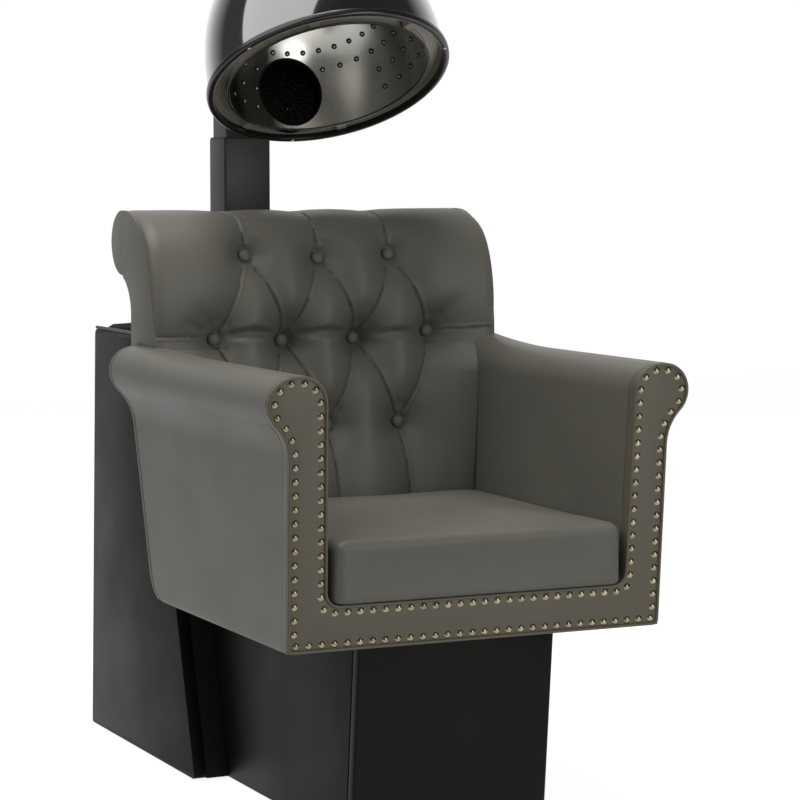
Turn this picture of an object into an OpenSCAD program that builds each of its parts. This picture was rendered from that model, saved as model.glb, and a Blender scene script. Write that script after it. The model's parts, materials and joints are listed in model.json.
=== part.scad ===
// Hooded dryer chair: an armchair with a tufted back on an upholstered pedestal
// and rear cabinet, with a telescoping mast that carries a tilting dryer hood.
// X runs across the seat, -Y is the front, +Z is up, and the floor is z = 0.
// The origin is the middle of the footprint on the floor.

/* [Overall] */
// Depth from the front welt to the rear edge of the cabinet
overall_depth = 1137; // [1110:1:1180]
// Height of the glides under the base board
glide_h = 3; // [2:0.5:5]

/* [Shell] */
// Width across the side panels at the bottom of the shell
shell_w = 610; // [600:1:624]
// Clear width between the arms at the cushion
seat_w = 486; // [476:1:492]
// How much each arm's inner face leans outward up to the scroll
seat_flare = 7; // [3:1:9]
// How much each side panel leans outward up to the neck of the scroll
side_flare = 3; // [1:1:5]
// Height of the underside of the shell above the floor
shell_z = 315; // [305:1:325]
// Height of the arms above the underside of the shell
arm_h = 400; // [390:1:410]
// How far the top of the front facing leans forward of its foot
front_lean = 24; // [15:1:30]
// Thickness of the front facing panel
face_t = 18; // [14:1:22]
// Radius of the rolled arm end
scroll_r = 42; // [38:1:45]
// How far the rolled arm reaches out beyond the side panel
scroll_reach = 37; // [30:1:40]
// Radius of the hollow under the rolled arm
neck_r = 70; // [60:1:80]
// Height of the bottom rail of the front facing
rail_h = 66; // [60:1:72]
// Corner radius of the seat opening in the facing
opening_r = 20; // [14:1:26]
// Depth of the side panels at their lower edge, from the foot of the facing
side_depth = 563; // [553:1:573]
// How far the rear edge of the side panels leans back up to the arm top
side_rake = 110; // [100:1:114]
// Radius of the lower rear corner of the side panels
side_low_r = 38; // [25:1:45]
// Radius of the upper rear corner of the arms
side_top_r = 55; // [40:1:60]

/* [Trim] */
// How far the facing's welt stands proud
welt_proud = 3; // [2:0.5:4]
// Width of the facing's welt
welt_w = 4; // [3:0.5:4.5]
// Diameter of a nail head
nail_d = 11.4; // [9:0.2:13]
// Height of a nail head
nail_h = 3; // [2:0.5:4]
// Spacing of the nail heads along the row
nail_pitch = 20.2; // [16:0.1:24]
// Distance of the nail row from the edge of the facing
nail_inset = 10.5; // [10:0.5:14]

/* [Seat] */
// Height of the seat cushion at its edge
cushion_h = 92; // [80:1:100]
// Rise of the cushion's crown over its edge
cushion_crown = 15; // [6:1:20]
// Depth of the seat cushion
cushion_d = 490; // [470:1:498]
// Gap between the cushion and each arm
cushion_gap = 6; // [3:1:9]
// Thickness of the seat platform board
platform_t = 18; // [15:1:22]
// Thickness of the seat rails
seat_rail_t = 24; // [20:1:28]
// Thickness of the deck under the cushion
deck_t = 5; // [3:1:8]

/* [Back] */
// Height of the top of the back above the floor
back_top_z = 936; // [915:1:950]
// Width of the back above the arms
back_w = 610; // [590:1:616]
// Rear face of the back above the arms, from the foot of the facing
back_rear = 650; // [642:1:656]
// Front face of the back pad at the arm tops, from the foot of the facing
pad_front = 532; // [524:1:540]
// Lean of the lower pad, from the cushion up to the arm tops
pad_rake = 42; // [30:1:50]
// Radius of the roll along the top of the back
roll_r = 53; // [46:1:56]
// Distance of the roll's centre behind the foot of the facing
roll_back = 690; // [682:1:698]
// Thickness of the back board
board_t = 18; // [12:1:20]
// Thickness of the outside back panel
outer_t = 15; // [10:1:18]
// Spacing of the buttons across the back
button_pitch_x = 129; // [120:1:134]
// Spacing of the button rows
button_pitch_z = 138; // [128:1:142]
// Height of the middle button row above the floor
button_mid_z = 728; // [720:1:736]
// Diameter of a covered button
button_d = 20; // [16:1:24]
// Depth of a button below the puffs around it
button_sink = 46; // [36:1:48]

/* [Base] */
// Width of the rear cabinet
cabinet_w = 445; // [425:1:465]
// Height of the cabinet's side panels
cabinet_h = 719; // [700:1:730]
// Foot of the cabinet's front, from the foot of the facing
cabinet_front = 591; // [580:1:600]
// How far the cabinet's front leans back up to its top
cabinet_front_rake = 215; // [200:1:225]
// How far the cabinet's rear leans forward up to its top
cabinet_rear_rake = 36; // [26:1:46]
// Rise of the cabinet's padded top over its side panels
cabinet_crown = 18; // [12:1:22]
// Thickness of the upholstered base panels
panel_t = 22; // [18:1:26]
// Width of the pedestal under the seat
pedestal_w = 326; // [306:1:346]
// Foot of the pedestal's front, from the foot of the facing
pedestal_front = 95; // [80:1:105]
// How far the pedestal's front leans forward up to the shell
pedestal_lean = 30; // [15:1:40]
// Thickness of the base board
base_t = 15; // [12:1:18]

/* [Mast] */
// Width of the mast sleeve
sleeve_w = 86; // [80:1:90]
// Depth of the mast sleeve
sleeve_d = 74; // [68:1:80]
// Height of the top of the mast sleeve above the floor
sleeve_top = 1055; // [1045:1:1065]
// Wall of the mast tubes
tube_wall = 3; // [2.5:0.5:3.5]
// Front face of the mast sleeve, from the foot of the facing
sleeve_front = 896; // [890:1:904]
// Gap between the sleeve's wall and the sliding post, filled by the guides
guide_gap = 2; // [1.5:0.1:2.5]
// Length of the sliding post
post_len = 520; // [480:1:540]
// Height of the top of the post above the floor at rest
post_top = 1120; // [1114:1:1126]

/* [Hood] */
// Tilt of the hood at rest, with its front edge raised
hood_tilt = 29.6; // [24:0.1:34]
// Middle of the hood's mouth, from the foot of the facing
hood_centre = 544; // [536:1:552]
// Height of the middle of the hood's mouth above the floor
hood_z = 1152; // [1146:1:1160]
// Outer radius of the rim
rim_r = 201; // [199:0.5:206]
// Outer radius of the dome where it meets the rim
dome_r = 196; // [194:0.5:198]
// Height of the dome
dome_h = 250; // [242:1:262]
// Wall of the dome
dome_wall = 3; // [2:0.5:4]
// Inner radius of the bowl at its mouth
bowl_r = 164; // [161:0.5:167]
// Depth of the bowl
bowl_h = 190; // [180:1:196]
// Wall of the bowl
bowl_wall = 2; // [1.5:0.5:3]
// Number of air nozzles in each row
nozzles_per_row = 30; // [24:1:32]
// Outer diameter of an air nozzle
nozzle_d = 8; // [6:0.5:9]
// Radius of the blower duct's bore in the rear wall of the bowl
duct_r = 54; // [50:1:56]
// Height of the duct's axis above the mouth of the hood
duct_h = 62; // [60:1:66]
// Half-width of the rear housing
housing_half = 62; // [60:1:66]
// Distance of the blower's axis point behind the middle of the mouth
blower_back = 159; // [156:1:162]
// Length of the rear housing behind the bowl's wall
housing_rear = 118; // [116:1:120]
// Radius of the tilt pin
pin_r = 8; // [6:0.5:9]
// Distance of the tilt pin behind the middle of the mouth, along the hood
pin_back = 303; // [300:1:306]
// Height of the tilt pin above the mouth, along the hood
pin_up = 187; // [184:1:190]

/* [Hidden] */

$fn = 48;
// Overrun of cutting shapes past the faces that they cut
over = 1;
// Clearance between soft or curved neighbours
seat_gap = 0.3;
// Radial clearance of a running fit
run_gap = 0.05;

// Datums: the foot of the facing, and the top of the arms
foot_y = -overall_depth / 2 + front_lean + welt_proud;
cabinet_rear_y = overall_depth / 2;
arm_z = shell_z + arm_h;
lean_angle = atan(front_lean / arm_h);

// Places along the depth, from the foot of the facing to model Y
function y_at(d) = foot_y + d;
// Front plane of the facing at height z
function face_y(z) = foot_y - front_lean * (z - shell_z) / arm_h;

// Points of a polygon with each corner rounded to its own radius
round_steps = 6;
function unit(v) = v / norm(v);
function corner_arc(p, c, n, r) =
  let(a = unit(p - c), b = unit(n - c),
      half = acos(a * b) / 2,
      mid = unit(a + b),
      centre = c + mid * r / sin(half),
      cut = r / tan(half),
      t0 = c + a * cut - centre,
      t1 = c + b * cut - centre,
      sweep = acos(unit(t0) * unit(t1)))
  r <= 0 ? [c] :
  [for (i = [0 : round_steps])
    centre + (t0 * sin(sweep * (1 - i / round_steps))
            + t1 * sin(sweep * i / round_steps)) / sin(sweep)];
function rounded(points, radii) =
  let(n = len(points))
  [for (i = [0 : n - 1])
    each corner_arc(points[(i + n - 1) % n], points[i], points[(i + 1) % n], radii[i])];

// Draws an outline in the Y-Z plane and gives it thickness along X
module across(x0, x1) {
  translate([x0, 0, 0]) rotate([90, 0, 90]) linear_extrude(x1 - x0) children();
}
// Draws an outline in the X-Z plane and gives it depth along Y
module along(y0, y1) {
  translate([0, y1, 0]) rotate([90, 0, 0]) linear_extrude(y1 - y0) children();
}
module both_sides() {
  children();
  mirror([1, 0, 0]) children();
}
// Upright bar with rounded edges, centred on X and Y
module bar(w, d, h, r) {
  linear_extrude(h) polygon(rounded(
    [[-w / 2, -d / 2], [w / 2, -d / 2], [w / 2, d / 2], [-w / 2, d / 2]], [r, r, r, r]));
}
// Low domed head, seated on z = 0
module domed_head(d, h) {
  cap_r = (d * d / 4 + h * h) / (2 * h);
  intersection() {
    translate([0, 0, h - cap_r]) sphere(cap_r);
    cylinder(h = h, d = d + over);
  }
}

// Outline of one arm seen from the front, with its edges drawn in by inset
half_w = shell_w / 2;
gap_half = seat_w / 2;
scroll_x = half_w + scroll_reach - scroll_r;
head_x = gap_half + seat_flare + scroll_r;
scroll_h = arm_h - scroll_r;
neck_x = half_w + side_flare + neck_r;
neck_h = scroll_h - sqrt(pow(scroll_r + neck_r, 2) - pow(neck_x - scroll_x, 2));
neck_dir = unit([neck_x - scroll_x, neck_h - scroll_h]);

module arm_outline(inset) {
  r = scroll_r - inset;
  touch = [scroll_x, scroll_h] + neck_dir * r;
  difference() {
    polygon([[gap_half + inset, inset], [half_w - inset, inset],
             [half_w + side_flare - inset, neck_h], touch, [scroll_x, scroll_h],
             [gap_half + seat_flare + inset, scroll_h]]);
    translate([neck_x, neck_h]) circle(neck_r + inset, $fn = 96);
  }
  for (x = [head_x, scroll_x]) translate([x, scroll_h]) circle(r, $fn = 64);
  if (scroll_x > head_x)
    translate([head_x, scroll_h]) square([scroll_x - head_x, r]);
}

opening_flare = seat_flare * (rail_h + opening_r) / scroll_h;
module face_outline(inset) {
  both_sides() {
    arm_outline(inset);
    translate([0, inset]) square([gap_half + inset + seat_flare, rail_h - 2 * inset]);
    translate([gap_half + opening_flare - opening_r, rail_h]) difference() {
      translate([0, -inset]) square([opening_r + inset + over, opening_r + inset]);
      translate([0, opening_r]) circle(opening_r + inset);
    }
  }
}

// Places a drawing on the leaning front plane of the facing
module on_face(t0, t1) {
  translate([0, foot_y, shell_z]) rotate([lean_angle, 0, 0])
    translate([0, t1, 0]) rotate([90, 0, 0]) linear_extrude(t1 - t0) children();
}

// Side view of the arms and side panels
side_back_low = [y_at(side_depth), shell_z];
side_back_top = [y_at(side_depth + side_rake), arm_z];
face_back = face_t / cos(lean_angle);
side_view = rounded(
  [[face_y(shell_z) + face_back, shell_z], side_back_low, side_back_top,
   [face_y(arm_z) + face_back, arm_z]],
  [0, side_low_r, side_top_r, 0]);
function side_rear(z) = y_at(side_depth + side_rake * (z - shell_z) / arm_h);

module arm() {
  intersection() {
    along(face_y(arm_z) - over, y_at(side_depth + side_rake) + over)
      translate([0, shell_z]) arm_outline(0);
    across(0, half_w + scroll_reach + over) polygon(side_view);
  }
}

module left_arm() {
  color("#64615a") mirror([1, 0, 0]) arm();
}
module right_arm() {
  color("#64615a") arm();
}

module front_facing() {
  color("#5a5249") on_face(0, face_t) face_outline(0);
}

module facing_welt() {
  color("#6b675f") on_face(-welt_proud, 0) difference() {
    face_outline(0);
    face_outline(welt_w);
  }
}

// Row of nail heads: half of its closed path, from the foot of the middle,
// up the outside, round the scroll and down to the seat opening
function arc_points(c, r, a0, a1, n) =
  [for (i = [0 : n]) c + r * [cos(a0 + (a1 - a0) * i / n), sin(a0 + (a1 - a0) * i / n)]];
neck_turn = atan2(scroll_h - neck_h, neck_x - scroll_x);
nail_arc_r = scroll_r - nail_inset;
nail_path = concat(
  [[0, nail_inset], [half_w - nail_inset, nail_inset]],
  arc_points([neck_x, neck_h], neck_r + nail_inset, 180, 180 - neck_turn, 6),
  arc_points([scroll_x, scroll_h], nail_arc_r, -neck_turn, 90, 10),
  arc_points([head_x, scroll_h], nail_arc_r, 90, 180, 6),
  [[gap_half + nail_inset, rail_h], [gap_half, rail_h - nail_inset],
   [0, rail_h - nail_inset]]);
function run_length(path, k) =
  k <= 0 ? 0 : run_length(path, k - 1) + norm(path[k] - path[k - 1]);
nail_runs = [for (k = [0 : len(nail_path) - 1]) run_length(nail_path, k)];
function point_at(path, runs, s) =
  let(k = max([for (i = [0 : len(runs) - 2]) runs[i] <= s ? i : 0]),
      f = (s - runs[k]) / (runs[k + 1] - runs[k]))
  path[k] + (path[k + 1] - path[k]) * f;
nail_total = nail_runs[len(nail_runs) - 1];
nail_count = round(nail_total / nail_pitch);

module facing_nails() {
  color("#8a7448") translate([0, foot_y, shell_z]) rotate([lean_angle, 0, 0])
    both_sides() for (i = [0 : nail_count - 1]) {
      p = point_at(nail_path, nail_runs, (i + 0.5) * nail_total / nail_count);
      translate([p[0], 0, p[1]]) rotate([90, 0, 0]) domed_head(nail_d, nail_h);
    }
}

// Inside of the shell
inner_front = face_back + seat_gap;
seat_level = shell_z + rail_h + face_t * tan(lean_angle);
deck_z = seat_level - deck_t;
rail_rear = side_depth - seat_rail_t;
inside_half = gap_half - seat_gap;

module seat_platform() {
  color("#c9ac7c") translate([-inside_half, y_at(inner_front), shell_z])
    cube([2 * inside_half, side_depth - inner_front - seat_gap, platform_t]);
}

module seat_rails() {
  color("#b8945e") for (d = [inner_front, rail_rear - seat_gap])
    translate([-inside_half, y_at(d), shell_z + platform_t])
      cube([2 * inside_half, seat_rail_t, deck_z - shell_z - platform_t]);
}

// Zigzag springs strung between the rails, in a plane just under the deck
spring_wire = 3.6;
spring_half = 24;
spring_runs = 14;
spring_cut = 6;
spring_rows_share = [-0.78, -0.39, 0, 0.39, 0.78];
spring_start = inner_front + seat_rail_t + seat_gap;
spring_step = (rail_rear - 2 * seat_gap - spring_start) / (spring_runs + 1);
// Each run crosses the spring, with its corners cut
function spring_run(k) =
  let(s = k % 2 == 0 ? -1 : 1, y = y_at(spring_start + spring_step * (k + 1)))
  [[s * spring_half, y - spring_cut], [s * (spring_half - spring_cut), y],
   [-s * (spring_half - spring_cut), y], [-s * spring_half, y + spring_cut]];
spring_path = concat(
  [[-spring_half, y_at(spring_start)]],
  [for (k = [0 : spring_runs - 1]) each spring_run(k)],
  [[(spring_runs % 2 == 0 ? -1 : 1) * spring_half, y_at(spring_start + spring_step * (spring_runs + 1))]]);
function path_side(path, d) =
  [for (i = [0 : len(path) - 1])
    let(a = i > 0 ? unit(path[i] - path[i - 1]) : unit(path[1] - path[0]),
        b = i < len(path) - 1 ? unit(path[i + 1] - path[i]) : a,
        m = unit(a + b))
    path[i] + [-m[1], m[0]] * d / (m * a)];
function backwards(list) = [for (i = [len(list) - 1 : -1 : 0]) list[i]];

module seat_springs() {
  color("#70757a") for (s = spring_rows_share)
    translate([s * (gap_half - spring_half), 0, deck_z - seat_gap - spring_wire])
      linear_extrude(spring_wire)
        polygon(concat(path_side(spring_path, spring_wire / 2),
                       backwards(path_side(spring_path, -spring_wire / 2))));
}

module seat_deck() {
  color("#2c2a28") translate([-inside_half, y_at(inner_front), deck_z])
    cube([2 * inside_half, pad_front - pad_rake - inner_front, deck_t]);
}

// Seat cushion: rings of a rounded outline, from the flat underside up the
// drawn-in sides and in over the crown
cushion_half = gap_half - cushion_gap;
cushion_z = seat_level + seat_gap;
cushion_corner = 20;
cushion_soft = 11;
cushion_draw = 4;
cushion_front = -14;
cushion_mid = cushion_front + cushion_d / 2;
// Height share and inset of each ring up the side
cushion_side_shares = [[0, 1], [0.05, 0.35], [0.14, 0.05], [0.5, 0], [0.86, 0.05], [0.96, 0.35]];
// Inset share of each ring over the crown
cushion_top_shares = [0.08, 0.2, 0.36, 0.54, 0.74, 0.92];
// Corner arcs with points along the sides between them; the sides draw in
corner_steps = 6;
edge_steps = 6;
cushion_points = 4 * (corner_steps + 1 + edge_steps);
function cushion_loop(w, d, r) =
  let(corners = [for (k = [0 : 3])
        let(c = [[w - r, d - r], [r - w, d - r], [r - w, r - d], [w - r, r - d]][k])
        arc_points(c, r, 90 * k, 90 * k + 90, corner_steps)])
  [for (k = [0 : 3])
    let(a = corners[k][corner_steps], b = corners[(k + 1) % 4][0])
    each concat(corners[k], [for (i = [1 : edge_steps]) a + (b - a) * i / (edge_steps + 1)])];
function cushion_ring(inset, z, draw) =
  let(w = cushion_half - inset, d = cushion_d / 2 - inset)
  [for (p = cushion_loop(w, d, cushion_corner * w / cushion_half))
    let(sx = p[0] / w, sy = p[1] / d)
    [p[0] - draw * sx * (1 - sy * sy), p[1] - draw * sy * (1 - sx * sx), z]];
function crown_rise(share) = cushion_crown * (1 - pow(1 - share, 2.4));

module seat_cushion() {
  side = [for (s = cushion_side_shares)
    cushion_ring(cushion_soft * s[1], cushion_h * s[0], cushion_draw * sin(180 * s[0]))];
  top = [for (s = cushion_top_shares)
    cushion_ring(cushion_soft + (cushion_half - cushion_soft) * s,
                 cushion_h + crown_rise(s), 0)];
  rings = concat(side, top);
  n = cushion_points;
  count = len(rings);
  tip = count * n;
  color("#67645c") translate([0, y_at(cushion_mid), cushion_z]) polyhedron(
    points = concat([for (r = rings) each r],
                    [[0, 0, cushion_h + cushion_crown], [0, 0, 0]]),
    faces = concat(
      [for (i = [0 : n - 1]) [tip + 1, i, (i + 1) % n]],
      [for (k = [0 : count - 2], i = [0 : n - 1])
        each [[k * n + i, (k + 1) * n + i, (k + 1) * n + (i + 1) % n],
              [k * n + i, (k + 1) * n + (i + 1) % n, k * n + (i + 1) % n]]],
      [for (i = [0 : n - 1]) [(count - 1) * n + i, tip, (count - 1) * n + (i + 1) % n]]));
}

// Back: rear plane, board and outside panel
back_z = deck_z + deck_t + seat_gap;
upper_z = arm_z + seat_gap;
roll_z = back_top_z - roll_r;
roll_low = roll_z - roll_r;
back_half = back_w / 2;
cap_t = 8;
pad_half = back_half - cap_t - seat_gap;
function low_rear(z) =
  side_rear(back_z) + (y_at(back_rear) - side_rear(back_z))
                      * min(1, (z - back_z) / (upper_z - back_z));

// A bent strip that follows the rear of the back, from depth d0 to d1 inside it
function strip(d0, d1, z0, z1) =
  [[low_rear(z0) - d0, z0], [low_rear(upper_z) - d0, upper_z], [y_at(back_rear) - d0, z1],
   [y_at(back_rear) - d1, z1], [low_rear(upper_z) - d1, upper_z], [low_rear(z0) - d1, z0]];
module back_strip(d0, d1, z1) {
  across(-inside_half, inside_half) polygon(strip(d0, d1, back_z, z1));
  across(-pad_half, pad_half) polygon(
    [[y_at(back_rear) - d0, upper_z], [y_at(back_rear) - d0, z1],
     [y_at(back_rear) - d1, z1], [y_at(back_rear) - d1, upper_z]]);
}

module back_board() {
  color("#c2a26e") back_strip(outer_t, outer_t + board_t, roll_low - seat_gap);
}

// Side view of the padded back above the arms, as its end caps show it
pad_power = 2.3;
pad_reach = roll_back - pad_front;
pad_rise = back_top_z - arm_z;
cap_setback = 12;
cap_fillet = 65;
function pad_curve(t, setback) =
  let(c = pow(cos(t), 2 / pad_power), s = pow(sin(t), 2 / pad_power))
  [y_at(roll_back) - (pad_reach - setback) * c, arm_z + pad_rise * s];
cap_neck_x = back_rear + cap_fillet;
cap_neck_z = roll_z - sqrt(pow(roll_r + cap_fillet, 2) - pow(roll_back - cap_neck_x, 2));

module cap_outline() {
  difference() {
    polygon(concat(
      [[y_at(back_rear), cap_neck_z], [y_at(back_rear), upper_z],
       [y_at(pad_front + cap_setback), upper_z]],
      [for (i = [1 : 14]) pad_curve(i * 90 / 14, cap_setback)],
      [[y_at(roll_back), roll_low + over]]));
    translate([y_at(cap_neck_x), cap_neck_z]) circle(cap_fillet);
  }
  translate([y_at(roll_back), roll_z]) circle(roll_r);
}

// Outside of the back: it sweeps out under the roll as its end caps do
module back_outer() {
  top = roll_low - seat_gap;
  color("#5f5b54") {
    back_strip(0, outer_t - seat_gap, top);
    across(-pad_half, pad_half) difference() {
      polygon([[y_at(back_rear) - over, cap_neck_z], [y_at(back_rear) - over, top],
               [y_at(roll_back), top]]);
      translate([y_at(cap_neck_x), cap_neck_z]) circle(cap_fillet);
    }
  }
}

module back_end_caps() {
  color("#5c5850") both_sides() across(pad_half + seat_gap, back_half) cap_outline();
}

// Tufting: distance from a place on the pad to the nearest pleat
row_xs = [[-1, 0, 1] * button_pitch_x, [-1.5, -0.5, 0.5, 1.5] * button_pitch_x,
          [-1, 0, 1] * button_pitch_x];
row_zs = [button_mid_z + button_pitch_z, button_mid_z, button_mid_z - button_pitch_z];
function line_gap(p, a, b) =
  let(t = max(0, min(1, (p - a) * (b - a) / ((b - a) * (b - a)))))
  norm(p - a - (b - a) * t);
buttons = [for (r = [0 : 2], x = row_xs[r]) [x, row_zs[r]]];
pleats = concat(
  [for (r = [0, 2], x = row_xs[r], s = [-0.5, 0.5])
    [[x, row_zs[r]], [x + s * button_pitch_x, row_zs[1]]]],
  [for (x = row_xs[0]) [[x, row_zs[0]], [x, 2 * back_top_z]]],
  [for (x = row_xs[2]) [[x, row_zs[2]], [x, 0]]],
  [for (s = [-1, 1]) [[1.5 * s * button_pitch_x, row_zs[1]], [s * shell_w, row_zs[1]]]]);
puff_soft = 20;
puff_h = 20;
pit_flat = 16;
pit_soft = 16;
function pleat_gap(p) = min([for (l = pleats) line_gap(p, l[0], l[1])]);
function button_gap(p) = min([for (b = buttons) norm(p - b)]);
function tuft(p) =
  let(w = exp(-pow(max(0, button_gap(p) - pit_flat) / pit_soft, 2)))
  button_sink * w + puff_h * exp(-pleat_gap(p) / puff_soft) * (1 - w);

// Pad: rows run from the cushion up the front, over the top and round the roll,
// and each has a column line at every button and close beside it
pad_clear = 1;
pit_half = 11;
pad_low_front = pad_front - pad_rake;
board_in = outer_t + board_t + seat_gap;
function low_half(z) = gap_half + seat_flare * min(1, (z - shell_z) / scroll_h) - pad_clear;
// Swelling of the pad where it meets the arms, above the cushion
swell_from = 476;
swell_rise = 200;
swell_fall = 30;
pad_swell = 40;
function side_swell(s, z) = z <= swell_from || z >= arm_z ? 0 :
  pad_swell * pow(abs(s), 9) * min(1, (z - swell_from) / swell_rise, (arm_z - z) / swell_fall);
function low_front(z) = y_at(pad_low_front + pad_rake * (z - back_z) / (upper_z - back_z));
function steps(a, b, n) = [for (i = [1 : n]) a + (b - a) * i / n];
half_columns = concat([0], [for (k = [0 : 3])
  let(x = k * button_pitch_x / 2)
  each k == 0 ? [pit_half] : [x - (button_pitch_x / 2 - pit_half) / 2 - pit_half / 2,
                              x - pit_half, x, x + pit_half]]);
column_end = half_columns[len(half_columns) - 1];
function row_columns(w) =
  let(half = concat(half_columns, steps(column_end, w, 3)))
  concat([for (x = backwards(half)) -x], [for (i = [1 : len(half) - 1]) half[i]]);
pad_low_zs = concat(
  [back_z], steps(back_z, row_zs[2] - pit_half, 5), [row_zs[2], row_zs[2] + pit_half],
  steps(row_zs[2] + pit_half, arm_z - seat_gap, 4));
pad_up_zs = concat(
  [upper_z + seat_gap, row_zs[1], row_zs[1] + pit_half],
  steps(row_zs[1] + pit_half, row_zs[0] - pit_half, 5), [row_zs[0], row_zs[0] + pit_half]);
over_angles = [56, 65, 74, 82, 90];
roll_angles = [62, 34, 4, -28, -60];
function up_front(z) =
  y_at(roll_back) - pad_reach * pow(1 - pow((z - arm_z) / pad_rise, pad_power), 1 / pad_power);
function front_at(z) = z <= arm_z ? low_front(z) : up_front(z);
function side_round(s, z) = z < arm_z ? -side_swell(s, z) : cap_setback * pow(abs(s), 8);
// Each row: place, height, half-width, how deep the tufts go and which way
pad_rows = concat(
  [for (z = pad_low_zs) [low_front(z), z, low_half(z), z == back_z ? 0 : 1, 0]],
  [for (z = pad_up_zs) [up_front(z), z, pad_half, 1, 0]],
  [for (t = over_angles) let(p = pad_curve(t, 0)) [p[0], p[1], pad_half, 1, 1]],
  [for (a = roll_angles)
    [y_at(roll_back) + roll_r * cos(a), roll_z + roll_r * sin(a), pad_half,
     max(0, a / 90), 1]]);
row_count = len(pad_rows);
// The rear faces the board up to the roll, and then runs back under the roll
board_rows = len(pad_low_zs) + len([for (z = pad_up_zs) if (z < roll_low) z]);
pad_rear_y = y_at(back_rear) - board_in;
function rear_place(i) =
  let(r = pad_rows[i])
  i < board_rows ? [low_rear(r[1]) - board_in, r[1]]
  : [pad_rear_y + (y_at(roll_back) - pad_rear_y) * (i - board_rows) / (row_count - 1 - board_rows),
     roll_low];
top_dip = 12;

module back_pad() {
  w = len(row_columns(pad_half));
  front = [for (r = pad_rows)
    each [for (x = row_columns(r[2]))
      let(sink = tuft([x, r[1]]) + side_round(x / r[2], r[1]))
      r[4] == 0 ? [x, r[0] + r[3] * sink, r[1]]
                : [x, r[0], r[1] - r[3] * top_dip * sink / button_sink]]];
  rear = [for (i = [0 : row_count - 1])
    let(p = rear_place(i), x = pad_rows[i][2]) each [[-x, p[0], p[1]], [x, p[0], p[1]]]];
  base = row_count * w;
  end = (row_count - 1) * w;
  rear_end = base + 2 * (row_count - 1);
  color("#565149") polyhedron(
    points = concat(front, rear),
    faces = concat(
      [for (i = [0 : row_count - 2], j = [0 : w - 2])
        each [[i * w + j, (i + 1) * w + j, (i + 1) * w + j + 1],
              [i * w + j, (i + 1) * w + j + 1, i * w + j + 1]]],
      [for (i = [0 : row_count - 2])
        let(f0 = i * w, f1 = f0 + w - 1, r0 = base + 2 * i, r1 = r0 + 1)
        each [[r0, r1, r1 + 2], [r0, r1 + 2, r0 + 2],
              [f0, r0, r0 + 2], [f0, r0 + 2, f0 + w],
              [f1, r1 + 2, r1], [f1, f1 + w, r1 + 2]]],
      [for (j = [0 : w - 2]) [base, j, j + 1]],
      [[base, w - 1, base + 1]],
      [for (j = [0 : w - 2]) [rear_end, end + j + 1, end + j]],
      [[rear_end, rear_end + 1, end + w - 1]]));
}

// Covered buttons, seated in the bottoms of the tufts
button_t = 7;
function lean_at(z) = atan2(front_at(z + over) - front_at(z - over), 2 * over);

module back_buttons() {
  color("#5e5951") for (b = buttons)
    translate([b[0], front_at(b[1]) + button_sink - seat_gap, b[1]])
      rotate([90 - lean_at(b[1]), 0, 0]) {
        domed_head(button_d, button_t);
      }
}

// Base: the cabinet behind the seat and the pedestal under it
cabinet_half = cabinet_w / 2;
base_z = glide_h + base_t;
cabinet_view = [
  [y_at(cabinet_front), glide_h], [cabinet_rear_y, glide_h],
  [cabinet_rear_y - cabinet_rear_rake, cabinet_h],
  [y_at(cabinet_front + cabinet_front_rake), cabinet_h]];
toe = 4;
pedestal_half = pedestal_w / 2;
pedestal_top = shell_z - seat_gap;

function cab_front(z) = y_at(cabinet_front + cabinet_front_rake * z / cabinet_h);
function cab_rear(z) = cabinet_rear_y - cabinet_rear_rake * z / cabinet_h;
function ped_front(z) = y_at(pedestal_front - pedestal_lean * z / shell_z);

module floor_glides() {
  glide_r = 14;
  edge = 40;
  spots = [
    [pedestal_half - edge, y_at(pedestal_front) + edge],
    [pedestal_half - edge, y_at(cabinet_front) - edge],
    [cabinet_half - edge, y_at(cabinet_front) + edge],
    [cabinet_half - edge, cabinet_rear_y - edge]];
  color("#d8d6cf") both_sides() for (p = spots)
    translate([p[0], p[1], 0]) cylinder(h = glide_h, r = glide_r);
}

module base_board() {
  color("#8f7347") difference() {
    translate([0, 0, glide_h]) linear_extrude(base_t) {
      translate([-pedestal_half + panel_t, ped_front(0) + panel_t])
        square([pedestal_w - 2 * panel_t,
                cabinet_front - pedestal_front - panel_t - seat_gap]);
      translate([-cabinet_half + panel_t, cab_front(base_z) + panel_t])
        square([cabinet_w - 2 * panel_t, cab_rear(base_z) - cab_front(base_z) - 2 * panel_t]);
    }
    for (p = foot_bolt_spots) translate([p[0], p[1], 0])
      cylinder(h = base_z + over, r = foot_bolt_r + run_gap);
  }
}

module cabinet_sides() {
  color("#2e2e2d") both_sides() across(cabinet_half - panel_t, cabinet_half)
    polygon(rounded(cabinet_view, [6, 6, 10, 10]));
}

module cabinet_front_panel() {
  color("#2b2b2a") across(-cabinet_half + panel_t, cabinet_half - panel_t)
    polygon([[cab_front(glide_h), glide_h], [cab_front(glide_h) + panel_t, glide_h],
             [cab_front(cabinet_h - panel_t) + panel_t, cabinet_h - panel_t],
             [cab_front(cabinet_h - panel_t), cabinet_h - panel_t]]);
}

rear_t = 16;
module cabinet_rear_panel() {
  color("#292928") difference() {
    across(-cabinet_half + panel_t, cabinet_half - panel_t)
      polygon([[cab_rear(glide_h) - rear_t, glide_h], [cab_rear(glide_h), glide_h],
               [cab_rear(cabinet_h - panel_t), cabinet_h - panel_t],
               [cab_rear(cabinet_h - panel_t) - rear_t, cabinet_h - panel_t]]);
    translate([-inlet_w / 2, cab_rear(inlet_z) - 3 * rear_t, inlet_z - inlet_h / 2 - inlet_slack])
      cube([inlet_w, 4 * rear_t, inlet_h + 2 * inlet_slack]);
  }
}

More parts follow.
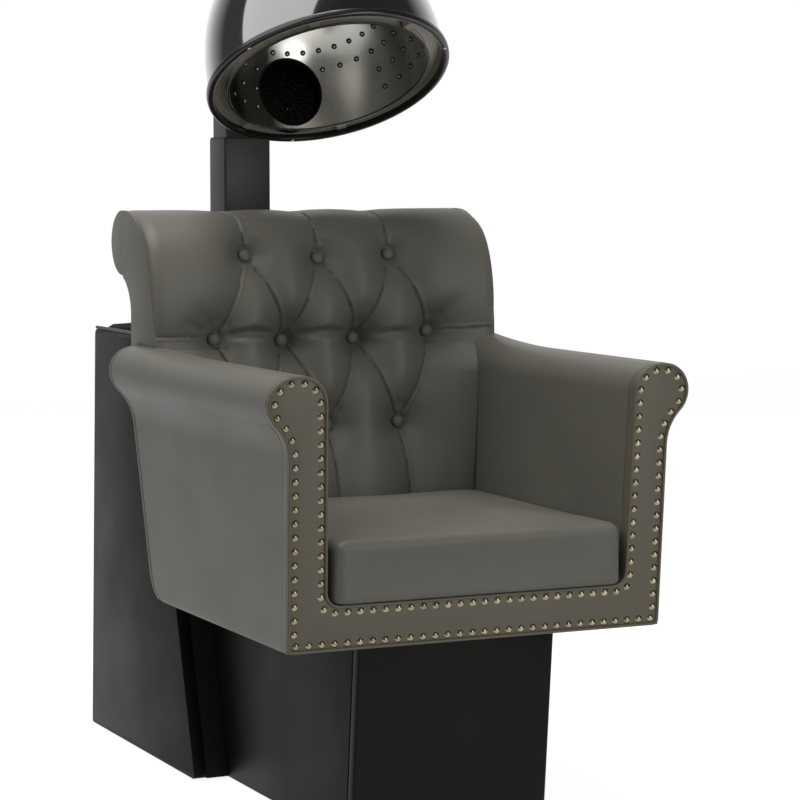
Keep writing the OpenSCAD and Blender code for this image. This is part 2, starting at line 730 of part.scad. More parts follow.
// Padded top: an arched pad over the cabinet, cut for the mast
mast_y = y_at(sleeve_front) + sleeve_d / 2;
top_arch = [
  [cab_front(cabinet_h), cabinet_h - panel_t], [cab_rear(cabinet_h), cabinet_h - panel_t],
  [cab_rear(cabinet_h) + 1, cabinet_h + 1], [cab_rear(cabinet_h) - 34, cabinet_h + 0.55 * cabinet_crown],
  [cab_rear(cabinet_h) - 140, cabinet_h + cabinet_crown],
  [cab_front(cabinet_h) + 34, cabinet_h + 0.55 * cabinet_crown], [cab_front(cabinet_h) - 1, cabinet_h + 1]];
module cabinet_top_panel() {
  color("#343433") difference() {
    across(-cabinet_half + panel_t, cabinet_half - panel_t)
      polygon(rounded(top_arch, [0, 0, 4, 30, 90, 30, 4]));
    translate([0, mast_y, 0]) bar(sleeve_w + 2 * seat_gap, sleeve_d + 2 * seat_gap,
                                  cabinet_h + 2 * cabinet_crown, sleeve_edge);
  }
}

module power_inlet() {
  pin_w = 2;
  pin_h = 6;
  wall = 2;
  color("#1c1c1c") translate([0, cab_rear(inlet_z), inlet_z]) rotate([atan(cabinet_rear_rake / cabinet_h), 0, 0]) {
    difference() {
      translate([-inlet_w / 2 + seat_gap, -inlet_depth, -inlet_h / 2 + seat_gap])
        cube([inlet_w - 2 * seat_gap, inlet_depth, inlet_h - 2 * seat_gap]);
      translate([-inlet_w / 2 + wall + seat_gap, -inlet_depth + wall, -inlet_h / 2 + wall + seat_gap])
        cube([inlet_w - 2 * (wall + seat_gap), inlet_depth, inlet_h - 2 * (wall + seat_gap)]);
    }
    for (p = [[-7, 3], [7, 3], [0, -5]])
      translate([p[0] - pin_w / 2, -inlet_depth + wall, p[1] - pin_h / 2])
        cube([pin_w, inlet_depth * 0.7, pin_h]);
  }
}
inlet_w = 28;
inlet_h = 22;
inlet_z = 120;
inlet_depth = 24;
inlet_slack = 1.4;

module rear_panel_screws() {
  spots = [for (x = [-1, 1], z = [60, 350, 650]) [x * (cabinet_half - panel_t - 20), z]];
  color("#b5b7b8") for (p = spots)
    translate([p[0], cab_rear(p[1]), p[1]]) rotate([atan(cabinet_rear_rake / cabinet_h) - 90, 0, 0])
      domed_head(10, 2.4);
}

// Piping that covers the seams between the side panels and the padded top
pipe_r = 3;
module cabinet_piping() {
  pipe_z = cabinet_h + pipe_r;
  color("#3d3d3c") both_sides()
    translate([cabinet_half - pipe_r, cab_front(cabinet_h) + pipe_r, pipe_z]) rotate([-90, 0, 0])
      cylinder(h = cab_rear(cabinet_h) - cab_front(cabinet_h) - 2 * pipe_r, r = pipe_r, $fn = 24);
}

module pedestal_sides() {
  color("#2e2e2d") both_sides() across(pedestal_half - panel_t, pedestal_half)
    polygon([[ped_front(glide_h) + panel_t, glide_h], [cab_front(glide_h) - seat_gap, glide_h],
             [cab_front(pedestal_top) - seat_gap, pedestal_top],
             [ped_front(pedestal_top) + panel_t, pedestal_top]]);
}

// Panel that closes the pedestal between the shell and the cabinet
module pedestal_cap() {
  low = pedestal_top - panel_t;
  from = y_at(side_depth) - 2 * panel_t;
  color("#2b2b2a") across(-pedestal_half + panel_t, pedestal_half - panel_t)
    polygon([[from, low], [cab_front(low) - seat_gap, low],
             [cab_front(pedestal_top) - seat_gap, pedestal_top], [from, pedestal_top]]);
}

module pedestal_front_panel() {
  color("#2b2b2a") across(-pedestal_half, pedestal_half)
    polygon([[ped_front(glide_h), glide_h], [ped_front(glide_h) + panel_t, glide_h],
             [ped_front(pedestal_top) + panel_t, pedestal_top], [ped_front(pedestal_top), pedestal_top]]);
}

// Mast: a fixed box-section sleeve and the post that slides in it
sleeve_edge = 4;
foot_plate_t = 8;
foot_margin = 34;
foot_bolt_r = 5;
foot_half_x = sleeve_w / 2 + foot_margin;
foot_half_y = sleeve_d / 2 + foot_margin;
foot_bolt_in = 16;
foot_bolt_spots = [for (sx = [-1, 1], sy = [-1, 1])
  [sx * (foot_half_x - foot_bolt_in), mast_y + sy * (foot_half_y - foot_bolt_in)]];
sleeve_low = base_z + foot_plate_t;
post_w = sleeve_w - 2 * (tube_wall + guide_gap);
post_d = sleeve_d - 2 * (tube_wall + guide_gap);
knob_z = sleeve_top - 40;
stud_r = 4;
boss_r = 9;
boss_l = 10;

module mast_foot() {
  color("#3a3a39") difference() {
    translate([-foot_half_x, mast_y - foot_half_y, base_z])
      cube([2 * foot_half_x, 2 * foot_half_y, foot_plate_t]);
    for (p = foot_bolt_spots) translate([p[0], p[1], base_z - over])
      cylinder(h = foot_plate_t + 2 * over, r = foot_bolt_r + run_gap);
  }
}

module foot_bolts() {
  color("#a9abac") for (p = foot_bolt_spots) translate([p[0], p[1], 0]) {
    translate([0, 0, glide_h]) cylinder(h = base_t + foot_plate_t, r = foot_bolt_r);
    translate([0, 0, sleeve_low]) cylinder(h = foot_bolt_r, r = 1.8 * foot_bolt_r, $fn = 6);
  }
}

module mast_sleeve() {
  color("#454542") difference() {
    union() {
      translate([0, mast_y, sleeve_low]) bar(sleeve_w, sleeve_d, sleeve_top - sleeve_low, sleeve_edge);
      translate([0, mast_y + sleeve_d / 2, knob_z]) rotate([-90, 0, 0]) cylinder(h = boss_l, r = boss_r);
    }
    translate([0, mast_y, sleeve_low - over])
      bar(sleeve_w - 2 * tube_wall, sleeve_d - 2 * tube_wall, sleeve_top, sleeve_edge - tube_wall);
    translate([0, mast_y, knob_z]) rotate([-90, 0, 0])
      cylinder(h = sleeve_d + boss_l, r = stud_r + run_gap);
  }
}

// Guide collar: a thin flange on the sleeve's top with a skirt inside it
guide_flange = 3;
guide_skirt = 24;
module sleeve_guide() {
  bore_w = post_w + 2 * seat_gap;
  bore_d = post_d + 2 * seat_gap;
  color("#1f1f1f") translate([0, mast_y, 0]) difference() {
    union() {
      translate([0, 0, sleeve_top]) bar(sleeve_w - 2, sleeve_d - 2, guide_flange, sleeve_edge);
      translate([0, 0, sleeve_top - guide_skirt])
        bar(sleeve_w - 2 * tube_wall, sleeve_d - 2 * tube_wall, guide_skirt, sleeve_edge - tube_wall);
    }
    translate([0, 0, sleeve_top - guide_skirt - over])
      bar(bore_w, bore_d, guide_skirt + guide_flange + 2 * over, post_edge);
  }
}
post_edge = 3;

module mast_post() {
  color("#3f3f3d") translate([0, mast_y, post_top - post_len]) difference() {
    bar(post_w, post_d, post_len, post_edge);
    translate([0, 0, -over]) bar(post_w - 2 * tube_wall, post_d - 2 * tube_wall,
                                 post_len + 2 * over, post_edge / 2);
  }
}

module post_slider() {
  slider_h = 40;
  lip = 6;
  color("#dcdad2") translate([0, mast_y, post_top - post_len]) difference() {
    union() {
      translate([0, 0, -lip]) bar(post_w + 2 * guide_gap - 2 * seat_gap,
                                  post_d + 2 * guide_gap - 2 * seat_gap, lip, sleeve_edge - tube_wall);
      bar(post_w - 2 * tube_wall, post_d - 2 * tube_wall, slider_h, post_edge / 2);
    }
    translate([0, 0, -lip - over]) bar(post_w - 6 * tube_wall, post_d - 6 * tube_wall,
                                       slider_h + lip + 2 * over, post_edge);
  }
}

// Clamp knob: a lobed grip on a stud that presses on the post
knob_r = 20;
knob_l = 18;
lobe_r = 6;
module lobed_grip(r, l, lobes) {
  difference() {
    cylinder(h = l, r = r);
    for (i = [0 : lobes - 1]) rotate([0, 0, (i + 0.5) * 360 / lobes])
      translate([r + lobe_r / 2, 0, -over]) cylinder(h = l + 2 * over, r = lobe_r, $fn = 32);
  }
}
module post_knob() {
  stud_from = mast_y + post_d / 2 + seat_gap;
  grip_from = mast_y + sleeve_d / 2 + boss_l + seat_gap;
  color("#161616") {
    translate([0, stud_from, knob_z]) rotate([-90, 0, 0])
      cylinder(h = grip_from - stud_from + over, r = stud_r);
    translate([0, grip_from, knob_z]) rotate([-90, 0, 0]) lobed_grip(knob_r, knob_l, 5);
  }
}

// Hood frame: its own +Z runs up the dome and its +Y to the rear
module in_hood() {
  translate([0, y_at(hood_centre), hood_z]) rotate([-hood_tilt, 0, 0]) children();
}
pin_y = y_at(hood_centre) + pin_back * cos(hood_tilt) + pin_up * sin(hood_tilt);
pin_z = hood_z - pin_back * sin(hood_tilt) + pin_up * cos(hood_tilt);

// Head: a cap on the post with a single lug for the tilt pin
head_t = 8;
lug_half = 25;
lug_r = 17;
module mast_head() {
  color("#3a3a39") difference() {
    union() {
      translate([0, mast_y, post_top]) bar(post_w + 4, post_d + 4, head_t, post_edge);
      translate([0, mast_y, post_top - 30])
        bar(post_w - 2 * tube_wall, post_d - 2 * tube_wall, 30 + over, post_edge / 2);
      across(-lug_half, lug_half) {
        polygon([[mast_y - post_d / 2 - 1, post_top + head_t - 1], [mast_y + post_d / 2 - 6, post_top + head_t - 1],
                 [pin_y + lug_r * 0.75, pin_z + lug_r * 0.66], [pin_y - lug_r, pin_z]]);
        translate([pin_y, pin_z]) circle(lug_r);
      }
    }
    translate([-lug_half - over, pin_y, pin_z]) rotate([0, 90, 0])
      cylinder(h = 2 * lug_half + 2 * over, r = pin_r + run_gap);
  }
}

ear_gap = 0.6;
ear_t = 10;
ear_in = lug_half + ear_gap;
ear_out = ear_in + ear_t;
pin_head_r = 12;
pin_head_t = 5;
module tilt_pin() {
  color("#9a9c9d") translate([0, pin_y, pin_z]) rotate([0, 90, 0]) {
    translate([0, 0, -ear_out]) cylinder(h = 2 * ear_out + 8, r = pin_r);
    translate([0, 0, -ear_out - pin_head_t]) cylinder(h = pin_head_t, r = pin_head_r);
  }
}

module tilt_knob() {
  color("#161616") translate([ear_out + seat_gap, pin_y, pin_z]) rotate([0, 90, 0]) difference() {
    lobed_grip(knob_r, knob_l, 5);
    translate([0, 0, -over]) cylinder(h = 8 + over, r = pin_r + run_gap);
  }
}

// Blower frame: level at rest, with its +Y along the blower's axis to the rear
module in_blower() {
  in_hood() translate([0, blower_back, duct_h]) rotate([hood_tilt, 0, 0]) children();
}
// Pin's place in the blower frame
pin_dy = pin_y - y_at(hood_centre) - blower_back * cos(hood_tilt) - duct_h * sin(hood_tilt);
pin_dz = pin_z - hood_z + blower_back * sin(hood_tilt) - duct_h * cos(hood_tilt);

// Rear housing: round below and square above, on the back of the dome
housing_top = 70;
housing_wall = 3;
cover_t = 4;
housing_edge = 16;
module housing_block(shrink, y0, y1) {
  h = housing_half - shrink;
  top = housing_top - shrink;
  r = housing_edge - shrink;
  translate([0, y1, 0]) rotate([90, 0, 0]) linear_extrude(y1 - y0) {
    circle(h, $fn = 72);
    polygon(rounded([[-h, 0], [h, 0], [h, top], [-h, top]], [0, 0, r, r]));
  }
}

duct_wall = 3;
// Dome and bowl profiles, as radius and height shares of a superellipse
dome_power = 2.3;
bowl_power = 2.2;
profile_steps = 16;
function dome_point(r, h, e, t) = [r * pow(cos(t), 2 / e), h * pow(sin(t), 2 / e)];
function half_profile(r, h, e) =
  [for (i = [0 : profile_steps])
    let(t = i * 90 / profile_steps) i == profile_steps ? [0, h] : dome_point(r, h, e, t)];
module solid_dome(r, h, e, low) {
  rotate_extrude($fn = 96) polygon(concat([[0, low], [r, low]], half_profile(r, h, e)));
}

module hood_dome() {
  color("#141414") in_hood() difference() {
    rotate_extrude($fn = 96) polygon(concat(
      half_profile(dome_r, dome_h, dome_power),
      [for (i = [profile_steps : -1 : 0])
        half_profile(dome_r - dome_wall, dome_h - dome_wall, dome_power)[i]]));
    translate([0, 0, duct_h]) rotate([-90, 0, 0])
      cylinder(h = dome_r + 2 * over, r = duct_r + duct_wall + seat_gap);
  }
}

// Rim: a rolled ring that grips the edge of the dome and frames the mouth
rim_face = 11;
rim_low = -6;
rim_high = 5;
rim_groove = 2;
rim_edge = 4;
module hood_rim() {
  outline = concat(
    arc_points([rim_r - rim_edge, rim_low + rim_edge], rim_edge, -90, 0, 4),
    arc_points([rim_r - rim_groove, rim_high - rim_groove], rim_groove, 0, 90, 3), [
    [dome_r + seat_gap, rim_high], [dome_r + seat_gap, -seat_gap], [dome_r - dome_wall - 1, -seat_gap],
    [dome_r - dome_wall - 1, 4], [rim_r - rim_face, 4], [rim_r - rim_face, rim_low + rim_groove],
    [rim_r - rim_face + rim_groove, rim_low]]);
  color("#232322") in_hood() rotate_extrude($fn = 96) polygon(outline);
}

// Trough: the recessed ring that closes the gap between dome and bowl
trough_z = 13;
trough_t = 2;
module trough_ring() {
  outer = dome_r - dome_wall - 1 - seat_gap;
  inner = bowl_r + bowl_wall + seat_gap;
  color("#2c2b29") in_hood() difference() {
    rotate_extrude($fn = 96) polygon([
      [inner, trough_z], [outer - 4, trough_z], [outer - 4, 4 + seat_gap], [outer, 4 + seat_gap],
      [outer, trough_z + trough_t], [inner, trough_z + trough_t]]);
    translate([0, collar_from, duct_h]) rotate([-90, 0, 0])
      cylinder(h = dome_r, r = duct_r + duct_wall + seat_gap);
  }
}

bowl_lip = -2.5;
module inner_bowl() {
  color("#7d7b74") in_hood() difference() {
    rotate_extrude($fn = 96) polygon(concat(
      [[bowl_r, bowl_lip], [bowl_r + bowl_wall + 2, bowl_lip],
       [bowl_r + bowl_wall + 2, bowl_lip + 2], [bowl_r + bowl_wall, bowl_lip + 4]],
      half_profile(bowl_r + bowl_wall, bowl_h + bowl_wall, bowl_power),
      [for (i = [profile_steps : -1 : 0]) half_profile(bowl_r, bowl_h, bowl_power)[i]]));
    translate([0, 0, duct_h]) rotate([-90, 0, 0])
      cylinder(h = bowl_r + 4 * bowl_wall, r = duct_r + duct_wall + seat_gap);
  }
}

// Air nozzles: rows of small eyelets that stand on the bowl's inner face
nozzle_rows_share = [0.174, 0.342, 0.508, 0.658];
nozzle_t = 1.2;
nozzle_bore = 3.4;
function bowl_radius(h) = bowl_r * pow(1 - pow(h / bowl_h, bowl_power), 1 / bowl_power);
function bowl_slope(h) = atan2(bowl_radius(h - over) - bowl_radius(h + over), 2 * over);
module air_nozzles() {
  step = 360 / nozzles_per_row;
  color("#55534e") in_hood() for (s = nozzle_rows_share, i = [0 : nozzles_per_row - 1]) {
    h = s * bowl_h;
    a = (i + 0.45) * step;
    off = [bowl_radius(h) * cos(a), h - duct_h];
    if (sin(a) < 0 || norm(off) > duct_r + duct_wall + nozzle_d / 2 + 1)
      rotate([0, 0, a]) translate([bowl_radius(h) - 2 * seat_gap, 0, h])
        rotate([0, -90 - bowl_slope(h), 0]) difference() {
          cylinder(h = nozzle_t, r1 = nozzle_d / 2, r2 = nozzle_d / 2 - 1, $fn = 24);
          translate([0, 0, -over]) cylinder(h = nozzle_t + 2 * over, d = nozzle_bore, $fn = 16);
        }
  }
}

// Clips that bridge the trough and hold the bowl, and screws on the rim's face
clip_angles = [62, 118, 242, 298];
module rim_clips() {
  clip_w = 16;
  from = bowl_r + bowl_wall + 2 + seat_gap;
  to = dome_r - dome_wall - 5 - 2 * seat_gap;
  color("#3b3a37") in_hood() for (a = clip_angles) rotate([0, 0, a])
    translate([from, -clip_w / 2, 0.5]) cube([to - from, clip_w, trough_z - 0.5 - seat_gap]);
}
screw_angles = [88, 208, 328];
rim_screw_d = 5;
rim_screw_h = 1.6;
module rim_screws() {
  color("#b9bbbc") in_hood() for (a = screw_angles) rotate([0, 0, a])
    translate([rim_r - (rim_face - rim_groove + rim_edge) / 2, 0, rim_low])
      rotate([180, 0, 0]) domed_head(rim_screw_d, rim_screw_h);
}

module rear_housing() {
  color("#1b1b1b") difference() {
    in_blower() difference() {
      housing_block(0, -60, housing_rear - cover_t);
      housing_block(housing_wall, -70, housing_rear);
      for (k = control_spots) translate([housing_half - 2 * housing_wall, k[0], k[1]])
        rotate([0, 90, 0]) cylinder(h = 4 * housing_wall, r = shaft_r + run_gap);
      translate([housing_half - 2 * housing_wall, switch_spot[0] - switch_l / 2,
                 switch_spot[1] - switch_w / 2])
        cube([4 * housing_wall, switch_l, switch_w]);
    }
    in_hood() solid_dome(dome_r + seat_gap, dome_h + seat_gap, dome_power, -60);
  }
}

module housing_cover() {
  slot_w = 4;
  slot_l = 56;
  color("#1f1f1f") in_blower() difference() {
    housing_block(0, housing_rear - cover_t, housing_rear);
    for (i = [0 : 4])
      translate([-slot_l / 2, housing_rear - 2 * cover_t, ears_low - 12 - i * 2.2 * slot_w])
        cube([slot_l, 3 * cover_t, slot_w]);
  }
}

// Ears: a plate on the rear cover with two ears for the tilt pin
ears_foot_t = 6;
ears_low = -4;
ears_high = 62;
module hinge_ears() {
  foot_y = housing_rear;
  color("#353534") in_blower() difference() {
    union() {
      translate([-ear_out, foot_y, ears_low]) cube([2 * ear_out, ears_foot_t, ears_high - ears_low]);
      both_sides() across(ear_in, ear_out) {
        polygon([[foot_y + 1, ears_low + 4], [pin_dy - lug_r * 0.3, pin_dz - lug_r * 0.93],
                 [pin_dy - lug_r * 0.3, pin_dz + lug_r * 0.93], [foot_y + 1, ears_high - 4]]);
        translate([pin_dy, pin_dz]) circle(lug_r);
      }
    }
    translate([-ear_out - over, pin_dy, pin_dz]) rotate([0, 90, 0])
      cylinder(h = 2 * ear_out + 2 * over, r = pin_r);
  }
}

// Intake: a collar, grille and heater in the rear wall of the bowl
module on_duct(y0) {
  in_hood() translate([0, y0, duct_h]) rotate([-90, 0, 0]) children();
}
collar_from = 100;
module intake_collar() {
  color("#0f0f0f") in_hood() difference() {
    intersection() {
      translate([0, collar_from, duct_h]) rotate([-90, 0, 0]) difference() {
        cylinder(h = dome_r - collar_from, r = duct_r + duct_wall, $fn = 72);
        translate([0, 0, -over]) cylinder(h = dome_r, r = duct_r, $fn = 72);
      }
      solid_dome(dome_r - seat_gap, dome_h - seat_gap, dome_power, -30);
    }
    solid_dome(bowl_r, bowl_h, bowl_power, -30);
  }
}

grille_y = 163;
module intake_grille() {
  grille_t = 2.5;
  slots = 18;
  color("#0d0d0d") on_duct(grille_y) difference() {
    cylinder(h = grille_t, r = duct_r - seat_gap, $fn = 72);
    for (i = [0 : slots - 1]) rotate([0, 0, i * 360 / slots])
      translate([14, -1.6, -over]) cube([duct_r - 22, 3.2, grille_t + 2 * over]);
  }
}

heater_y = 170;
module heater_element() {
  mica = 1.5;
  mica_h = 10;
  wire = 2;
  color("#8d8271") on_duct(heater_y) {
    for (a = [45, 135]) rotate([0, 0, a])
      translate([-duct_r + seat_gap, -mica / 2, 0]) cube([2 * (duct_r - seat_gap), mica, mica_h]);
    for (r = [18, 30, 42]) translate([0, 0, mica_h / 2])
      rotate_extrude($fn = 48) translate([r, 0]) circle(wire, $fn = 16);
  }
}

// Blower: fan, motor, shroud and spider on one axis in the rear housing
fan_y = 58;
fan_h = 18;
fan_r = 50;
hub_r = 15;
shaft_len = 12;
fan_shaft_r = 3;
shroud_r = 53;
shroud_wall = 2;
motor_y = 80;
motor_r = 24;
motor_l = 30;
spider_y = 92;
module on_blower(y0) {
  in_blower() translate([0, y0, 0]) rotate([-90, 0, 0]) children();
}
module fan_impeller() {
  blades = 7;
  blade_t = 2;
  pitch = 32;
  color("#3c3f42") on_blower(fan_y) {
    cylinder(h = fan_h, r = hub_r);
    translate([0, 0, fan_h - over]) cylinder(h = shaft_len + over, r = fan_shaft_r);
    intersection() {
      difference() {
        cylinder(h = fan_h, r = fan_r);
        translate([0, 0, -over]) cylinder(h = fan_h + 2 * over, r = hub_r - 1);
      }
      for (i = [0 : blades - 1]) rotate([0, 0, i * 360 / blades])
        translate([0, 0, fan_h / 2]) rotate([pitch, 0, 0])
          translate([hub_r - 3, -15, -blade_t / 2]) cube([fan_r, 30, blade_t]);
    }
  }
}

module fan_motor() {
  color("#8b8d8f") on_blower(motor_y) difference() {
    union() {
      cylinder(h = motor_l, r = motor_r);
      translate([0, 0, -3]) cylinder(h = 3 + over, r = 9);
    }
    translate([0, 0, -4]) cylinder(h = shaft_len + 6, r = fan_shaft_r + run_gap);
  }
}

module fan_shroud() {
  ring_t = 5;
  arm_w = 8;
  from = fan_y - 2;
  to = spider_y + ring_t;
  color("#2a2a2a") on_blower(0) difference() {
    translate([0, 0, from]) cylinder(h = to - from, r = shroud_r + shroud_wall);
    translate([0, 0, from - over]) cylinder(h = spider_y - from + over, r = shroud_r);
    translate([0, 0, spider_y - over]) cylinder(h = to - spider_y + 2 * over, r = motor_r);
    for (a = [0 : 2]) rotate([0, 0, a * 120])
      translate([0, 0, spider_y - over]) linear_extrude(ring_t + 2 * over) difference() {
        polygon([for (t = [-1, -0.5, 0, 0.5, 1]) (shroud_r - 1) * [cos(t * 50), sin(t * 50)],
                 for (t = [1, 0, -1]) (motor_r + 5) * [cos(t * 44), sin(t * 44)]]);
      }
  }
}

// Controls on the right-hand wall of the rear housing
shaft_r = 3;
control_spots = [[66, 32], [104, 32]];
switch_spot = [85, 8];
switch_l = 20;
switch_w = 12;
dial_r = 16;
dial_l = 14;
module dial(spot) {
  in_blower() translate([housing_half, spot[0], spot[1]]) rotate([0, 90, 0]) {
    translate([0, 0, -2 * housing_wall]) cylinder(h = 2 * housing_wall + 1, r = shaft_r);
    translate([0, 0, seat_gap]) difference() {
      union() {
        cylinder(h = 4, r = dial_r);
        cylinder(h = dial_l, r1 = dial_r - 3, r2 = dial_r - 5);
      }
      for (s = [-1, 1]) translate([s * dial_r - (s > 0 ? 8 : 3), -dial_r, 5]) cube([11, 2 * dial_r, dial_l]);
    }
  }
}
module timer_knob() {
  color("#d9d7d0") dial(control_spots[0]);
}
module heat_knob() {
  color("#d9d7d0") dial(control_spots[1]);
}
module power_switch() {
  gap = 0.4;
  pivot_x = housing_half - housing_wall;
  color("#0c0c0c") in_blower() translate([pivot_x, switch_spot[0], switch_spot[1]]) intersection() {
    translate([-2, -switch_l / 2 + gap, -switch_w / 2 + gap]) cube([10, switch_l - 2 * gap, switch_w - 2 * gap]);
    rotate([0, 0, 0]) cylinder(h = switch_w, r = switch_l / 2 - gap, center = true);
  }
}

floor_glides();
base_board();
cabinet_sides();
cabinet_front_panel();
cabinet_top_panel();
cabinet_rear_panel();
rear_panel_screws();
cabinet_piping();
power_inlet();
pedestal_sides();
pedestal_cap();
pedestal_front_panel();
seat_platform();
seat_rails();
seat_springs();
seat_deck();
left_arm();
right_arm();
front_facing();
facing_welt();
facing_nails();
seat_cushion();
back_board();
back_pad();
back_outer();
back_end_caps();
back_buttons();
mast_foot();
foot_bolts();
mast_sleeve();
sleeve_guide();
mast_post();
post_slider();
mast_head();
post_knob();
tilt_pin();
hinge_ears();
tilt_knob();
rear_housing();
housing_cover();
hood_dome();
hood_rim();
trough_ring();
inner_bowl();
air_nozzles();
rim_clips();
rim_screws();
intake_collar();
intake_grille();
heater_element();
fan_motor();
fan_shroud();
fan_impeller();
timer_knob();
heat_knob();
power_switch();
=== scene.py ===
# %% [markdown]
# # Hooded dryer chair
# A salon armchair with a button-tufted back, a nailed front and a drying hood on a mast.
# The rigid parts come packed from CAD and keep their place; this notebook gives them
# finishes, and builds the upholstery and the hood's shells again with finer meshes.

# %% Set-up
import json
import math

import bmesh
import bpy
import numpy as np
from mathutils import Matrix, Vector


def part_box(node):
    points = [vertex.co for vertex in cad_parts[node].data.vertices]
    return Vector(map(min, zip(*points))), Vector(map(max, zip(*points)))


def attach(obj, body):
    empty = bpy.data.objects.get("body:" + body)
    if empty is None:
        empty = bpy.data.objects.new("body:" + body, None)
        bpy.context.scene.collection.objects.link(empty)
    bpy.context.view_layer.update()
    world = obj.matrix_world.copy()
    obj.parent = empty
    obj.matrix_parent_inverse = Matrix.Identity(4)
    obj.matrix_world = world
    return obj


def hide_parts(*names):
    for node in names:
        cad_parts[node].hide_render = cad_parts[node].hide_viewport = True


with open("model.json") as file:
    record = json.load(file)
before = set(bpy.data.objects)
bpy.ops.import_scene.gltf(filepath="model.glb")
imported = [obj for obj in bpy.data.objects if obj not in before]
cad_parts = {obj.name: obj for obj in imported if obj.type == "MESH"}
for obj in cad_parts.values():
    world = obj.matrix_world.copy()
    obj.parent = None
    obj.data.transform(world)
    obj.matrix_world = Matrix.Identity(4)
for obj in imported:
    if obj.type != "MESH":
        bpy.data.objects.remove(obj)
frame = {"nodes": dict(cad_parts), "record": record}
cad_nodes = frame["nodes"]
scene = bpy.context.scene


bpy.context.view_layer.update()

# %% [markdown]
# ## Camera
# The photograph was taken from in front and a little to the left, with a long lens. Left and
# right are the viewer's here, also in the names of pieces. These values were fitted to
# measured corners of the chair, so the render and the picture can be compared edge by edge.
# The camera isn't rolled, so its matrix follows from its bearing and its height angle.

# %% Camera
CAM_AZ, CAM_EL = math.radians(-25.197), math.radians(4.985)
CAM_AT, LENS_MM, SENSOR_MM, CLIP_END = (-1.776279, -4.046245, 1.010715), 121.5, 36.0, 60.0
towards_camera = Vector((math.sin(CAM_AZ) * math.cos(CAM_EL), -math.cos(CAM_AZ) * math.cos(CAM_EL),
                         math.sin(CAM_EL)))
camera_right = Vector((math.cos(CAM_AZ), math.sin(CAM_AZ), 0))
camera_up = towards_camera.cross(camera_right)
lens = bpy.data.cameras.new("camera")
lens.sensor_width = SENSOR_MM
lens.lens = LENS_MM
lens.clip_end = CLIP_END
camera = bpy.data.objects.new("camera", lens)
scene.collection.objects.link(camera)
camera.matrix_world = Matrix((
    (camera_right.x, camera_up.x, towards_camera.x, CAM_AT[0]),
    (camera_right.y, camera_up.y, towards_camera.y, CAM_AT[1]),
    (camera_right.z, camera_up.z, towards_camera.z, CAM_AT[2]),
    (0, 0, 0, 1)))
scene.camera = camera
print("lens", lens.lens, "mm at", tuple(round(v, 3) for v in camera.matrix_world.translation))


# %% [markdown]
# ## Shader maths
# A finish is easier to read as an expression such as `pebbles * 0.6 + creases` than as a
# list of Math nodes. The small class below wraps one socket and adds a node for each
# operator.

# %% Shader maths
class Wire:
    """One socket of a material, with arithmetic."""

    def __init__(self, net, socket):
        self.net, self.socket = net, socket

    def __add__(self, other):
        return self.net.maths("ADD", self, other)

    def __sub__(self, other):
        return self.net.maths("SUBTRACT", self, other)

    def __rsub__(self, other):
        return self.net.maths("SUBTRACT", other, self)

    def __mul__(self, other):
        return self.net.maths("MULTIPLY", self, other)

    __radd__ = __add__
    __rmul__ = __mul__


class Net:
    """A node tree with one method that makes any node."""

    def __init__(self, tree):
        self.tree = tree

    def put(self, socket, value):
        if isinstance(value, Wire):
            self.tree.links.new(value.socket, socket)
        else:
            socket.default_value = value

    def node(self, kind, settings=None, out=0, **inputs):
        made = self.tree.nodes.new(kind)
        for key, value in (settings or {}).items():
            setattr(made, key, value)
        for key, value in inputs.items():
            place = int(key[1:]) if key[1:].isdigit() else key.replace("_", " ")
            self.put(made.inputs[place], value)
        return Wire(self, made.outputs[out])

    def maths(self, operation, a, b):
        return self.node("ShaderNodeMath", {"operation": operation}, i0=a, i1=b)

    def ramp(self, value, low, high):
        """0 at low, 1 at high, clamped."""
        return self.node("ShaderNodeClamp", i0=(value - low) * (1.0 / (high - low)))

    def mix(self, share, a, b):
        return self.node("ShaderNodeMix", {"data_type": "RGBA"}, out=2, i0=share, i6=a, i7=b)

    def shown(self):
        """1 for what the camera sees, directly or in a mirror or glass."""
        rays = [self.node("ShaderNodeLightPath", out=k) for k in ("Is Camera Ray", "Is Glossy Ray",
                                                                 "Is Transmission Ray")]
        return self.node("ShaderNodeClamp", i0=rays[0] + rays[1] + rays[2])


def rgb(r, g, b):
    """Linear colour from 8-bit values."""
    lin = [v / 255 / 12.92 if v / 255 <= 0.04045 else ((v / 255 + 0.055) / 1.055) ** 2.4
           for v in (r, g, b)]
    return (*lin, 1.0)


def grey(value):
    return (value, value, value, 1.0)


def tint(colour, share):
    return tuple(min(1.0, c * share) for c in colour[:3]) + (1.0,)


# %% [markdown]
# ## Studio
# The backdrop behind the chair is white, and so are the pale strips that it draws along both
# edges of the glossy dome. The room in front is darker, with a brighter left side. What
# lights the fabric is dimmer than what the camera sees, so the colours render about as they
# are written; Light Path tells the two apart. AWAY is the level direction from the camera
# to the chair, and the room turns white towards it.

# %% World
world = bpy.data.worlds.new("studio")
scene.world = world
world.use_nodes = True
world.node_tree.nodes.clear()
room = Net(world.node_tree)
compass = room.tree.nodes.new("ShaderNodeSeparateXYZ")
room.put(compass.inputs[0], room.node("ShaderNodeTexCoord"))
east, north = (Wire(room, compass.outputs[k]) for k in (0, 1))
AWAY_EAST, AWAY_NORTH = 0.426, 0.905
DARK_SIDE, LEFT_SIDE, WHITE = grey(0.07), grey(0.15), grey(1.0)
FRONT_LIGHT, REAR_LIGHT = grey(0.2), grey(0.4)
behind = room.ramp(east * AWAY_EAST + north * AWAY_NORTH, 0.45, 0.85)
left_side = room.ramp(east * -1.0, 0.0, 0.9)
studio = room.mix(behind, room.mix(left_side, DARK_SIDE, LEFT_SIDE), WHITE)
backdrop = room.mix(room.node("ShaderNodeLightPath", out="Is Camera Ray"), studio, WHITE)
